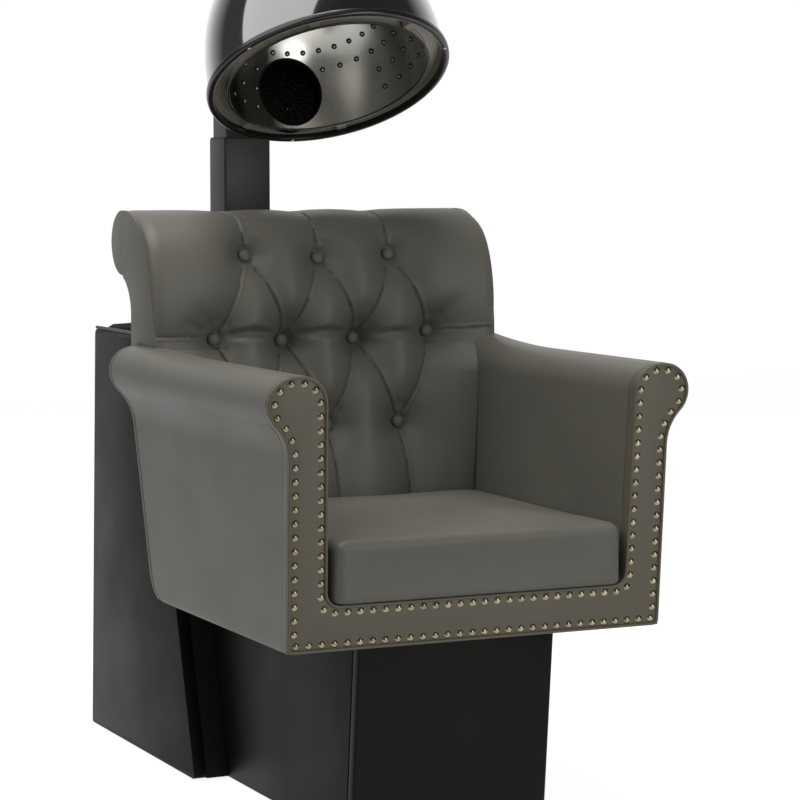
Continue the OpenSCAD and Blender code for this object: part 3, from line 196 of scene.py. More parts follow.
fabric_light = room.mix(behind, FRONT_LIGHT, REAR_LIGHT)
seen_world = room.node("ShaderNodeBackground", Color=backdrop, Strength=1.0)
lit_world = room.node("ShaderNodeBackground", Color=fabric_light, Strength=1.0)
both_worlds = room.node("ShaderNodeMixShader", i0=room.shown(), i1=lit_world, i2=seen_world)
world_out = room.tree.nodes.new("ShaderNodeOutputWorld")
room.put(world_out.inputs["Surface"], both_worlds)


# %% [markdown]
# The main light is one large softbox high on the left: it makes the bright patch on the dome
# and the sheen along the arms. A smaller one overhead lifts what faces up, and a weak one at
# the front right keeps the front from going dark. A round light low in front is what the
# polished bowl mirrors. Places and sizes are in metres and power is in watts, and no lamp
# shows to the camera itself.

# %% Lamps
def softbox(name, at, target, size, power, shape="RECTANGLE"):
    data = bpy.data.lights.new(name, "AREA")
    data.shape = shape
    data.size, data.size_y = size
    data.energy = power
    lamp = bpy.data.objects.new(name, data)
    scene.collection.objects.link(lamp)
    lamp.location = at
    lamp.rotation_mode = "QUATERNION"
    lamp.rotation_quaternion = (Vector(target) - Vector(at)).to_track_quat("-Z", "Y")
    lamp.visible_camera = False
    area = size[0] * size[1] * (math.pi / 4 if shape == "ELLIPSE" else 1.0)
    print(name, "radiance", round(power / (math.pi * area), 2))


softbox("main_softbox", at=(-1.61, 0.03, 3.15), target=(0.215, 0.28, 1.475), size=(2.6, 2.75),
        power=54)
softbox("top_light", at=(-0.3, -0.3, 3.6), target=(-0.1, 0.1, 0.6), size=(1.0, 1.0), power=44)
softbox("front_fill", at=(1.2, -3.8, 2.4), target=(0.0, -0.1, 0.6), size=(1.8, 1.8), power=24)
softbox("bowl_light", at=(0.62, -2.6, 0.78), target=(0.0, 0.0, 1.2), size=(1.5, 1.3), power=11,
        shape="ELLIPSE")

# %% [markdown]
# The floor is white paper to the camera and a matt grey to the soft light. In mirrors it is
# bright on the right and behind and half as bright at the left front, with a soft line
# between the two. It stands half a millimetre low, so that it never meets the glides.

# %% Floor
FLOOR_SIZE, FLOOR_Z = 14.0, -0.0005
PAPER_MATT, PAPER_DIM, PAPER_BRIGHT = 0.35, 0.45, 0.9
LINE_EAST, LINE_NORTH, LINE_AT, LINE_SOFT = 0.87, 0.5, 1.2, 0.4
bpy.ops.mesh.primitive_plane_add(size=FLOOR_SIZE, location=(0, 0, FLOOR_Z))
floor = bpy.context.active_object
floor.name = "studio_floor"
floor_finish = bpy.data.materials.new("studio_floor")
floor_finish.use_nodes = True
paper = Net(floor_finish.node_tree)
paper.tree.nodes.clear()
matt = paper.node("ShaderNodeBsdfDiffuse", Color=grey(PAPER_MATT))
place = paper.tree.nodes.new("ShaderNodeSeparateXYZ")
paper.put(place.inputs[0], paper.node("ShaderNodeTexCoord", out="Object"))
floor_x, floor_y = (Wire(paper, place.outputs[k]) for k in (0, 1))
white_paper = paper.ramp(floor_x * LINE_EAST + floor_y * LINE_NORTH + LINE_AT, -LINE_SOFT, LINE_SOFT)
by_eye = paper.node("ShaderNodeLightPath", out="Is Camera Ray")
mirrored = white_paper * (PAPER_BRIGHT - PAPER_DIM) + PAPER_DIM
glow = paper.node("ShaderNodeEmission", Color=grey(1.0),
                  Strength=mirrored + by_eye * (PAPER_BRIGHT - mirrored))
bright = paper.node("ShaderNodeAddShader", i0=matt, i1=glow)
paper_out = paper.tree.nodes.new("ShaderNodeOutputMaterial")
paper.put(paper_out.inputs["Surface"], paper.node("ShaderNodeMixShader", i0=paper.shown(), i1=matt,
                                                  i2=bright))
floor.data.materials.append(floor_finish)
print("floor", FLOOR_SIZE, "m square")


# %% [markdown]
# ## Finishes
# Upholstery vinyl has a faint cloudiness in its colour, a roughness that follows it, and a
# pebbled grain about a millimetre across. Paint and plastic get the slow, shallow waves of
# orange peel instead, and metals a smudged roughness. One function makes them all, so that
# the recipes below stay short enough to compare.

# %% Recipe for a finish
ROUGH_SWING, BUMP_DEPTH, PEEL_PER_M = 0.08, 0.0002, 260.0


def finish(name, base, rough, metal=0.0, coat=0.0, coat_rough=0.1, coat_ior=1.5, specular=0.5,
           cloud=0.0, cloud_size=9.0, grain=0.0, grain_per_m=900.0, peel=0.0):
    mat = bpy.data.materials.new(name)
    mat.use_nodes = True
    net = Net(mat.node_tree)
    shader = net.tree.nodes["Principled BSDF"]
    for socket, value in (("Base Color", base), ("Roughness", rough), ("Metallic", metal),
                          ("Coat Weight", coat), ("Coat Roughness", coat_rough), ("Coat IOR", coat_ior),
                          ("Specular IOR Level", specular)):
        shader.inputs[socket].default_value = value
    where = net.node("ShaderNodeTexCoord", out="Object")
    if cloud:
        clouds = net.node("ShaderNodeTexNoise", Vector=where, Scale=cloud_size, Detail=4.0)
        soft = net.ramp(clouds, 0.3, 0.7)
        net.put(shader.inputs["Base Color"], net.mix(soft, tint(base, 1 - cloud), tint(base, 1 + cloud)))
        net.put(shader.inputs["Roughness"], soft * ROUGH_SWING + (rough - ROUGH_SWING / 2))
    if grain:
        pebbles = net.node("ShaderNodeTexVoronoi", Vector=where, Scale=grain_per_m)
        creases = net.node("ShaderNodeTexNoise", Vector=where, Scale=grain_per_m * 0.3, Detail=3.0)
        net.put(shader.inputs["Normal"], net.node(
            "ShaderNodeBump", Strength=grain, Distance=BUMP_DEPTH, Height=pebbles * 0.6 + creases))
    if peel:
        waves = net.node("ShaderNodeTexNoise", Vector=where, Scale=PEEL_PER_M, Detail=2.0)
        net.put(shader.inputs["Normal"], net.node(
            "ShaderNodeBump", Strength=peel, Distance=BUMP_DEPTH, Height=waves))
    return mat


# %% [markdown]
# A recipe is a colour, a roughness and what it adds to them. Upholstery colours were matched
# to the photograph in renders, and the dark vinyls and paints keep a low specular level, or
# the white surroundings would turn them grey. The dome is the other way round: it has a full
# clear coat with a high index, as a thick polished moulding mirrors strongly.

# %% The finishes
FINISH = {
    "vinyl_taupe": finish("vinyl_taupe", rgb(102, 99, 91), 0.46, specular=0.3, cloud=0.05, grain=0.35),
    "vinyl_black": finish("vinyl_black", rgb(13, 13, 13), 0.5, specular=0.13, cloud=0.08,
                          grain=0.35, grain_per_m=800.0),
    "piping_black": finish("piping_black", rgb(26, 26, 26), 0.42, cloud=0.06, grain=0.3),
    "nail_brass": finish("nail_brass", rgb(146, 137, 113), 0.27, metal=1.0, cloud=0.3,
                         cloud_size=60.0, peel=0.3),
    "deck_cloth": finish("deck_cloth", rgb(40, 38, 36), 0.9, cloud=0.1, grain=0.6,
                         grain_per_m=1500.0),
    "plywood": finish("plywood", rgb(188, 158, 116), 0.6, cloud=0.12, cloud_size=30.0, grain=0.3),
    "timber": finish("timber", rgb(168, 134, 96), 0.6, cloud=0.15, cloud_size=25.0, grain=0.3),
    "spring_steel": finish("spring_steel", rgb(150, 152, 155), 0.35, metal=1.0, cloud=0.1),
    "nylon_white": finish("nylon_white", rgb(216, 214, 206), 0.5, cloud=0.03),
    "paint_dark": finish("paint_dark", rgb(41, 39, 37), 0.38, specular=0.35, cloud=0.05, peel=0.25),
    "screw_steel": finish("screw_steel", rgb(190, 192, 194), 0.28, metal=1.0, cloud=0.08),
    "plastic_black": finish("plastic_black", rgb(14, 14, 14), 0.45, specular=0.3, cloud=0.08, peel=0.3),
    "hood_black": finish("hood_black", rgb(12, 12, 12), 0.1, specular=1.0, coat=1.0,
                         coat_rough=0.04, coat_ior=1.9, cloud=0.15, peel=0.05),
    "rim_black": finish("rim_black", rgb(22, 21, 20), 0.26, specular=0.6, cloud=0.1, peel=0.15),
    "trough_grey": finish("trough_grey", rgb(168, 163, 152), 0.4, metal=0.35, cloud=0.1),
    "bowl_grey": finish("bowl_grey", rgb(186, 184, 178), 0.24, metal=0.85, peel=0.12),
    "nozzle_dark": finish("nozzle_dark", rgb(36, 34, 31), 0.35, metal=0.4, cloud=0.1),
    "heater_wire": finish("heater_wire", rgb(132, 120, 102), 0.4, metal=0.9, cloud=0.1),
    "motor_zinc": finish("motor_zinc", rgb(160, 162, 165), 0.35, metal=1.0, cloud=0.08),
    "fan_grey": finish("fan_grey", rgb(64, 66, 69), 0.5, cloud=0.05),
    "knob_ivory": finish("knob_ivory", rgb(200, 195, 180), 0.4, cloud=0.03),
}
facing_leather = finish("facing_leather", rgb(95, 90, 76), 0.45, specular=0.4, cloud=0.05, grain=0.35)
# Black plastic for the duct's grille and collar, made darker than the plain black plastic: part of that
# darkness is painted shade, for the deep dark round the duct.
duct_black_and_painted_shade = finish("duct_black_and_painted_shade", rgb(6, 6, 6), 0.6, specular=0.1, cloud=0.1, peel=0.2)
SLOT_OF = {part["node"]: part["material_slot"] for part in frame["record"]["subparts"]}
print("finishes:", len(FINISH) + 2)

# %% [markdown]
# The polished bowl is nearly black on the left of its air duct, where it mirrors a dark part
# of the room two or three times over. A darker room would be the right way. This studio is
# pale in those directions for the sake of the other pieces, so that dark reflection is painted
# into the bowl's colour instead, fading in across a few centimetres towards the left and the
# rear. This painted reflection shows from other sides too.

# %% Painted reflection in the bowl
PAINTED_DARK_LEFT_OF, PAINTED_DARK_BEHIND, LEFT_FADE, REAR_FADE = -0.012, 0.0, 0.026, 0.05
polish = Net(FINISH["bowl_grey"].node_tree)
inside = polish.tree.nodes.new("ShaderNodeSeparateXYZ")
polish.put(inside.inputs[0], polish.node("ShaderNodeTexCoord", out="Object"))
# Painted reflection: these masks darken the bowl's colour at the left and the rear, in place of the dark
# room it would mirror.
painted_dark_left = 1.0 - polish.ramp(Wire(polish, inside.outputs[0]), PAINTED_DARK_LEFT_OF - LEFT_FADE, PAINTED_DARK_LEFT_OF)
painted_dark_rear = polish.ramp(Wire(polish, inside.outputs[1]), PAINTED_DARK_BEHIND, PAINTED_DARK_BEHIND + REAR_FADE)
painted_dark_mottle = polish.node("ShaderNodeTexNoise", Vector=polish.node("ShaderNodeTexCoord", out="Object"),
                      Scale=14.0, Detail=3.0)
# The dark colour is the painted reflection, mottled a little by the noise; the light one is the bowl's own
# polished colour.
polish.put(polish.tree.nodes["Principled BSDF"].inputs["Base Color"],
           polish.mix(painted_dark_left * painted_dark_rear * (painted_dark_mottle * 0.1 + 0.9), rgb(214, 212, 204), rgb(40, 39, 36)))
print("bowl toned left of", PAINTED_DARK_LEFT_OF, "m and behind its middle")

# %% [markdown]
# ## Measures
# The upholstery is drawn from the same values as the CAD source, in millimetres. Depth is
# counted from the foot of the front facing, and FOOT is where that stands along Y. The lines
# below give, in turn: the shell's underside, the arms' height, and the facing's lean and
# thickness; half the width, half the room between the arms, and how far an arm flares inside
# and outside; the arms' scroll, the hollow neck under it, the front rail and the round inner
# corner above that; the sides' depth and how far they rake back.
#
# For the back they give its top, rear and front and the front's rake; its half width, end
# panels and roll, with the power of the curve over the top; and the step between buttons and
# the fuller power of the pad itself. The rest is worked out from these.

# %% Measures of the chair
FOOT = -541.5
SHELL_Z, ARM_H, LEAN, FACE_T = 315.0, 400.0, 24.0, 18.0
HALF_W, GAP, FLARE, SIDE_FLARE = 305.0, 243.0, 7.0, 3.0
SCROLL_R, SCROLL_REACH, NECK_R, RAIL, OPEN_R = 42.0, 37.0, 70.0, 66.0, 20.0
SIDE_DEPTH, SIDE_RAKE = 563.0, 110.0
BACK_TOP, BACK_REAR, PAD_FRONT, PAD_RAKE = 936.0, 650.0, 532.0, 42.0
BACK_HALF, CAP_T, ROLL_R, ROLL_Y, POWER = 305.0, 8.0, 53.0, 690.0, 2.3
BUTTON_X, PAD_POWER = 129.0, 2.8
ARM_Z = SHELL_Z + ARM_H
SEAT_Z = SHELL_Z + RAIL + FACE_T * LEAN / ARM_H
SCROLL_X = HALF_W + SCROLL_REACH - SCROLL_R
HEAD_X = GAP + FLARE + SCROLL_R
SCROLL_H = ARM_H - SCROLL_R
NECK_X = HALF_W + SIDE_FLARE + NECK_R
NECK_H = SCROLL_H - math.sqrt((SCROLL_R + NECK_R) ** 2 - (NECK_X - SCROLL_X) ** 2)
NECK_TURN = math.atan2(SCROLL_H - NECK_H, NECK_X - SCROLL_X)
REACH, RISE = ROLL_Y - PAD_FRONT, BACK_TOP - ARM_Z
print("seat level", round(SEAT_Z, 1), "scroll centre", SCROLL_X, SCROLL_H + SHELL_Z)


# %% [markdown]
# Most of these pieces are rows of points with faces between them: a sewn cover follows its
# outline along a path, and a moulded shell follows it round an axis. These helpers turn a
# depth into model Y, blend smoothly between two places, and lay out arcs and even steps.

# %% Small helpers for outlines
def my(depth):
    return np.asarray(depth) + FOOT


def smooth(low, high, value):
    t = np.clip((value - low) / (high - low), 0, 1)
    return t * t * (3 - 2 * t)


def arc(cx, cy, r, a0, a1, n):
    return [(cx + r * math.cos(a), cy + r * math.sin(a)) for a in np.linspace(a0, a1, n)]


def even(loop, step):
    """Points at an even spacing round a closed outline."""
    p = np.vstack([loop, loop[:1]])
    run = np.r_[0, np.cumsum(np.linalg.norm(np.diff(p, axis=0), axis=1))]
    s = np.linspace(0, run[-1], int(round(run[-1] / step)) + 1)[:-1]
    return np.stack([np.interp(s, run, p[:, k]) for k in range(p.shape[1])], -1)


print("a round of radius 10 in steps of 5:", len(even(arc(0, 0, 10, 0, 2 * math.pi, 50)[1:], 5)), "points")


# %% [markdown]
# Each finer piece is made in one place, so that all are welded, face outwards and ride on a
# body of the model. A piece that is a better version of a CAD node takes that node's place,
# and the printed difference between their boxes shows at once if it came out too large.

# %% Mesh pieces
WELD_WITHIN, SLIVER = 2e-6, 1e-6


def put_mesh(name, points, faces, slot, body="chair", sharp=None, look=None):
    """A mesh piece in millimetres, welded, facing outwards, finished and riding on a body."""
    data = bpy.data.meshes.new(name)
    data.from_pydata([tuple(p) for p in np.asarray(points) / 1000.0], [], faces)
    work = bmesh.new()
    work.from_mesh(data)
    bmesh.ops.remove_doubles(work, verts=work.verts, dist=WELD_WITHIN)
    bmesh.ops.dissolve_degenerate(work, edges=work.edges, dist=SLIVER)
    bmesh.ops.delete(work, geom=[e for e in work.edges if not e.link_faces], context="EDGES")
    bmesh.ops.recalc_face_normals(work, faces=work.faces)
    work.to_mesh(data)
    work.free()
    data.shade_smooth()
    if sharp:
        data.set_sharp_from_angle(angle=math.radians(sharp))
    piece = bpy.data.objects.new(name, data)
    scene.collection.objects.link(piece)
    data.materials.append(look or FINISH[slot])
    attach(piece, body)
    print(name, len(data.polygons), "faces")
    return piece


def stand_in(piece, node):
    """Hides a CAD node behind its finer piece, and prints how far their boxes differ."""
    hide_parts(node)
    co = np.array([v.co for v in piece.data.vertices]) * 1000
    lo, hi = (np.array(c) * 1000 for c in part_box(node))
    print("  for", node, "low", np.round(co.min(0) - lo, 1), "high", np.round(co.max(0) - hi, 1))


def skin(shape, closed=True, ends=True):
    """Faces over rows of equally many points."""
    count, n = shape
    faces = [(i * n + j, (i + 1) * n + j, (i + 1) * n + (j + 1) % n, i * n + (j + 1) % n)
             for i in range(count - 1) for j in range(n if closed else n - 1)]
    if ends:
        faces += [tuple(range(n)), tuple((count - 1) * n + j for j in range(n))]
    return faces


NO_PATH_RUNS = [0.13, 0.3, 0.94]


def tube(name, path, radius, slot, closed=False, sides=10, body="chair", look=None):
    """Round cord along a path, with its sides laid out from a direction that no path runs."""
    p = np.asarray(path, float)
    run = np.roll(p, -1, 0) - np.roll(p, 1, 0) if closed else np.gradient(p, axis=0)
    run /= np.linalg.norm(run, axis=1)[:, None]
    side = np.cross(run, NO_PATH_RUNS)
    side /= np.linalg.norm(side, axis=1)[:, None]
    other = np.cross(run, side)
    a = (np.arange(sides) * 2 * np.pi / sides)[None, :, None]
    rings = p[:, None] + radius * (np.cos(a) * side[:, None] + np.sin(a) * other[:, None])
    if closed:
        rings = np.concatenate([rings, rings[:1]])
    return put_mesh(name, rings.reshape(-1, 3), skin(rings.shape[:2], ends=not closed), slot, body,
                    look=look)


# %% [markdown]
# ## Arms
# A scroll arm is a wooden board under a thin pad: straight inside, rolled outwards at the
# top, and flared below. The vinyl is wrapped over it and sewn to the rear edge, so the
# outline is swept back to a rounded rear edge with a stitched seam beside it. A sweep keeps
# the long sides straight, which a subdivided box would not. The tops also rise a little
# towards the back, the right one more than the left.

# %% Arm outline and sides
def arm_loop():
    inner = [(GAP + FLARE * t, SCROLL_H * t) for t in np.linspace(0, 1, 18)]
    head = arc(HEAD_X, SCROLL_H, SCROLL_R, math.pi, math.pi / 2, 14)[1:]
    out = arc(SCROLL_X, SCROLL_H, SCROLL_R, math.pi / 2, -NECK_TURN, 28)
    neck = arc(NECK_X, NECK_H, NECK_R, math.pi - NECK_TURN, math.pi, 14)[1:]
    side = [(HALF_W + SIDE_FLARE * (1 - t), NECK_H * (1 - t)) for t in np.linspace(0, 1, 16)][1:]
    return np.array(inner + head + out + neck + side)


FACING_PLAY = 0.6
LOW_R, LOW_PULL, TOP_R, TOP_PULL = 38.0, 1.12, 55.0, 0.9


def arm_front(h):
    return -LEAN * h / ARM_H + FACE_T + FACING_PLAY


def arm_rear(h):
    """Depth of the rear edge at a height over the shell's underside."""
    line = SIDE_DEPTH + SIDE_RAKE * h / ARM_H
    if h < LOW_R:
        return line - LOW_PULL * (LOW_R - math.sqrt(max(0.0, LOW_R ** 2 - (LOW_R - h) ** 2)))
    if h > ARM_H - TOP_R:
        return line - TOP_PULL * (TOP_R - math.sqrt(max(0.0, TOP_R ** 2 - (h - ARM_H + TOP_R) ** 2)))
    return line


TOP_RISE = {-1: 4.0, 1: 11.0}
RISE_FROM, RISE_RUN, RISE_END = 330, 205, 1.15


def arm_rise(side, depth, h):
    """How far an arm's top stands over its plain line, which grows towards the back."""
    share = min(RISE_END, max(0.0, (depth - RISE_FROM) / RISE_RUN))
    return TOP_RISE[side] * share ** 2 * smooth(ARM_H - 130, ARM_H - 5, h)


print("arm rear edge at half height:", arm_rear(ARM_H / 2))


# %% The arm covers
def make_arm(side, name, node):
    spacing = 6.0
    loop = even(arm_loop(), spacing)
    run = np.roll(loop, -1, 0) - np.roll(loop, 1, 0)
    run /= np.linalg.norm(run, axis=1)[:, None]
    inward = np.stack([run[:, 1], -run[:, 0]], -1)
    edge_r, seam_back, seam_at, seam_deep = 7.0, 19.0, 3.0, 1.1
    stations = [(t, 0.0, 0.0) for t in np.linspace(0, 1, 24)]
    stations += [(1, k + seam_at, d * seam_deep) for k, d in ((-1.8, 0), (-0.6, 1), (0.6, 1), (1.8, 0))]
    stations += [(1, seam_back - edge_r + edge_r * math.sin(a), edge_r * (1 - math.cos(a)))
                 for a in np.radians(np.linspace(0, 90, 8))]
    rings = []
    for share, past, draw in stations:
        for (x, h), d in zip(loop, inward):
            front, seam = arm_front(h), arm_rear(h) - seam_back
            depth = front + (seam - front) * share + past
            rings.append((side * (x + d[0] * draw), my(depth),
                          SHELL_Z + h + d[1] * draw + arm_rise(side, depth, h)))
    arm = put_mesh(name, rings, skin((len(stations), len(loop))), "vinyl_taupe", sharp=55)
    stand_in(arm, node)


make_arm(-1, "left_arm_cover", "left_arm")
make_arm(1, "right_arm_cover", "right_arm")


# %% [markdown]
# ## Welt and nails
# The facing is a separate U-shaped panel with a welt sewn round it. The welt is a thin cord
# in a strip of the facing's own vinyl: a tube half sunk in the panel's edge. The nail heads
# come from CAD and only need their finish of aged brass.

# %% Welt round the facing
WELT_R, WELT_IN, WELT_OUT, WELT_SPACING, FOOT_CORNER = 2.5, 1.9, 0.3, 5.0, 5


def on_facing(x, h, out):
    lean = math.atan2(LEAN, ARM_H)
    return (x, FOOT - out * math.cos(lean) - h * math.sin(lean),
            SHELL_Z + h * math.cos(lean) - out * math.sin(lean))


def facing_half(inset):
    r = SCROLL_R - inset
    edge = GAP + FLARE * (RAIL + OPEN_R) / SCROLL_H
    pts = [(0.0, inset)] + arc(HALF_W - inset - FOOT_CORNER, inset + FOOT_CORNER, FOOT_CORNER,
                               -math.pi / 2, 0, 5)
    pts += [(HALF_W + SIDE_FLARE - inset, NECK_H)]
    pts += arc(NECK_X, NECK_H, NECK_R + inset, math.pi, math.pi - NECK_TURN, 10)[1:]
    pts += arc(SCROLL_X, SCROLL_H, r, -NECK_TURN, math.pi / 2, 26)
    pts += arc(HEAD_X, SCROLL_H, r, math.pi / 2, math.pi, 12)
    pts += arc(edge - OPEN_R, RAIL + OPEN_R, OPEN_R + inset, 0, -math.pi / 2, 9)
    return pts + [(0.0, RAIL - inset)]


right_half = facing_half(WELT_IN)
whole = right_half + [(-x, h) for x, h in right_half[::-1][1:-1]]
welt = tube("facing_welt_cord", [on_facing(x, h, WELT_OUT) for x, h in even(whole, WELT_SPACING)],
            WELT_R, "vinyl_taupe", closed=True, look=facing_leather)
stand_in(welt, "facing_welt")

# %% [markdown]
# ## Tufted back
# Covered buttons pull the vinyl deep into the padding, and the spare material is folded into
# pleats that run from button to button in diamonds. Every pleat is a fold that lies over to
# one side: a low ridge, a sharp drop, and a slow rise. Cloth simulation is the usual way to
# make such a pad. Here the surface is a fine grid pushed in by these shapes instead, because
# the folds are only a few millimetres wide and each of them has a known place.
#
# A button is its place across, its height and the depth of its pit. A pleat is its two ends,
# its bow and its weight. A soft fold is its two ends, its bow, its depth and its width.

# %% Places of the buttons and pleats
TOP_Z, MID_Z, LOW_Z = 861.0, 727.0, 584.0
BUTTONS = [(-BUTTON_X, TOP_Z + 1, 44), (0.0, TOP_Z - 4, 45), (BUTTON_X, TOP_Z + 1, 44),
           (-1.5 * BUTTON_X, MID_Z + 2, 39), (-0.5 * BUTTON_X, MID_Z - 4, 66),
           (0.5 * BUTTON_X, MID_Z - 4, 66), (1.5 * BUTTON_X, MID_Z + 6, 50),
           (-BUTTON_X, LOW_Z, 42), (0.0, LOW_Z, 44), (BUTTON_X, LOW_Z, 42)]
PLEATS = []
for z, lean_over in ((TOP_Z, 4.0), (LOW_Z, 0.0)):
    for x in (-1, 0, 1):
        for s in (-0.5, 0.5):
            PLEATS.append(((x * BUTTON_X, z), ((x + s) * BUTTON_X, MID_Z), 1.5 + lean_over * (s > 0), 1.0))
for x in (-1, 0, 1):
    PLEATS.append(((x * BUTTON_X, TOP_Z), (x * BUTTON_X - 9, TOP_Z + 270), 0.0, 0.8))
    PLEATS.append(((x * BUTTON_X, LOW_Z), (x * BUTTON_X + 4, LOW_Z - 240), 3.0, 0.9))
PLEATS.append(((1.5 * BUTTON_X, MID_Z + 8), (330.0, MID_Z + 17), -1.0, 0.5))
PLEATS.append(((-1.5 * BUTTON_X, MID_Z + 2), (-330.0, MID_Z + 6), -4.0, 0.6))
SOFT_FOLDS = [((-1.5 * BUTTON_X, MID_Z), (-0.5 * BUTTON_X, MID_Z), 12.0, 13.0, 10.0),
              ((-0.5 * BUTTON_X, MID_Z), (0.5 * BUTTON_X, MID_Z), 10.0, 12.0, 10.0),
              ((0.5 * BUTTON_X, MID_Z), (1.5 * BUTTON_X, MID_Z), 6.0, 9.0, 10.0),
              ((-1.5 * BUTTON_X, MID_Z + 8), (-300, MID_Z + 40), -5.0, 11.0, 9.0),
              ((-1.5 * BUTTON_X, MID_Z + 14), (-262, MID_Z + 82), 0.0, 8.0, 13.0),
              ((1.5 * BUTTON_X, MID_Z + 12), (294, MID_Z + 48), 0.0, 8.0, 10.0),
              ((1.5 * BUTTON_X, MID_Z + 16), (278, MID_Z + 94), 0.0, 10.0, 14.0)]
print("buttons", len(BUTTONS), "pleats", len(PLEATS))


# %% Distance from a fold
def beside(x, z, a, b, bow):
    """How far points lie across a bowed line, from it and past its ends, and the share along it.

    A steep line is taken downwards, so that what lies on its left is negative across it.
    """
    a, b = np.array(a, float), np.array(b, float)
    if a[1] < b[1] and abs(b[1] - a[1]) > abs(b[0] - a[0]):
        a, b = b, a
    d = b - a
    length = np.hypot(*d)
    t = ((x - a[0]) * d[0] + (z - a[1]) * d[1]) / length ** 2
    along = np.clip(t, 0, 1)
    across = (d[0] * (z - a[1]) - d[1] * (x - a[0])) / length - bow * 4 * along * (1 - along)
    past = np.maximum(np.maximum(-t, t - 1), 0) * length
    return across, np.hypot(across, past), past, along


# %% [markdown]
# Each button sits in a wide dish with a steep throat at its edge, and small gathers ring it.
# A pleat is a broad valley with a crease on one side of its line and a bead on the other.
# Where valleys meet, the cube root of their summed cubes joins them, without the sharp line
# of a plain maximum. Valleys and folds fade out where a button holds the vinyl down.

# %% Depth of the tufting
DISH, DISH_W, THROAT, THROAT_R, THROAT_W = 0.42, 54.0, 0.58, 11.5, 13.0
GATHER, GATHER_R, GATHER_W, GATHERS = 0.5, 30, 15.0, 7.0
VALLEY, VALLEY_W, CREASE, CREASE_W, BEAD, BEAD_W, FOLD_END = 13.0, 28.0, 4.6, 2.0, 2.3, 6.6, 9.0
BUTTON_EDGE, FOLD_FROM, VALLEY_FROM, SOFT_END, STEEP = 11.0, 17.0, 34.0, 0.9, 1.3


def tuft(x, z):
    """How deep the vinyl is drawn in: a funnel at each button, a valley and a fold at each pleat."""
    near = np.full_like(x, 1e9)
    depth, gathers = np.zeros_like(x), np.zeros_like(x)
    for k, (bx, bz, sink) in enumerate(BUTTONS):
        g, a = np.hypot(x - bx, z - bz), np.arctan2(z - bz, x - bx)
        near = np.minimum(near, g)
        depth += sink * (DISH * np.exp(-(g / DISH_W) ** 2)
                         + THROAT * np.exp(-(np.maximum(g - THROAT_R, 0) / THROAT_W) ** STEEP))
        gathers += (GATHER * np.exp(-((g - GATHER_R) / GATHER_W) ** 2) * np.cos(GATHERS * a + 1.7 * k)
                    * (0.55 + 0.45 * np.sin(a + 0.4)))
    valley, fold = np.zeros_like(x), np.zeros_like(x)
    for a, b, bow, weight in PLEATS:
        across, gap, past, _ = beside(x, z, a, b, bow)
        valley += (weight * VALLEY * np.exp(-(gap / VALLEY_W) ** STEEP)) ** 3
        crease = np.where(across < 0, CREASE * np.exp(np.minimum(across, 0) / CREASE_W), 0.0)
        bead = np.where((across > 0) & (across < BEAD_W), -BEAD * np.sin(np.pi * across / BEAD_W), 0.0)
        fold += weight * (crease + bead) * np.exp(-(past / FOLD_END) ** 2)
    for a, b, bow, deep, width in SOFT_FOLDS:
        _, gap, _, along = beside(x, z, a, b, bow)
        fade = 1 - smooth(0.0, SOFT_END, along) * (abs(b[0]) > 1.5 * BUTTON_X + 1)
        valley += (fade * deep * np.exp(-(gap / (width * (1.6 - 0.6 * fade))) ** 2)) ** 3
    return (depth + np.cbrt(valley) * smooth(BUTTON_EDGE, VALLEY_FROM, near)
            + (fold + gathers) * smooth(BUTTON_EDGE, FOLD_FROM, near))


print("pit under the middle top button:", round(float(tuft(np.zeros(1), np.full(1, TOP_Z))[0]), 1), "mm")


# %% [markdown]
# The pad's front leans back between the arms, curves over above them and ends in a roll. Its
# rows run up the front, over the top and round the roll. Up to TURN of the curve the tufting
# pushes straight back, and above that it turns with the surface. The side seam runs a little
# behind the front, where the flat end panels begin.

# %% Rows of the back: up the front, over the top and round the roll
LOW_ROWS, UPRIGHT_ROWS, CROWN_ROWS, ROLL_ROWS = 150, 228, 51, 39
TURN, TURNED_BY, SIDE_SEAM, LOW_SEAM, SEAM_DROP = 0.72, 1.35, 15, 8, 9
ARM_GAP, ROLL_FOOT_ANGLE, ROLL_SEAM, SEAM_END = 0.6, -62, 13, 4


def round_over(z, power):
    """Depth of the rounded front over the arms, at one height."""
    return ROLL_Y - REACH * (1 - ((z - ARM_Z) / RISE) ** power) ** (1 / power)


def front_of_pad(z):
    if z < ARM_Z:
        return PAD_FRONT - PAD_RAKE * (ARM_Z - z) / (ARM_Z - SEAT_Z)
    return round_over(z, PAD_POWER)


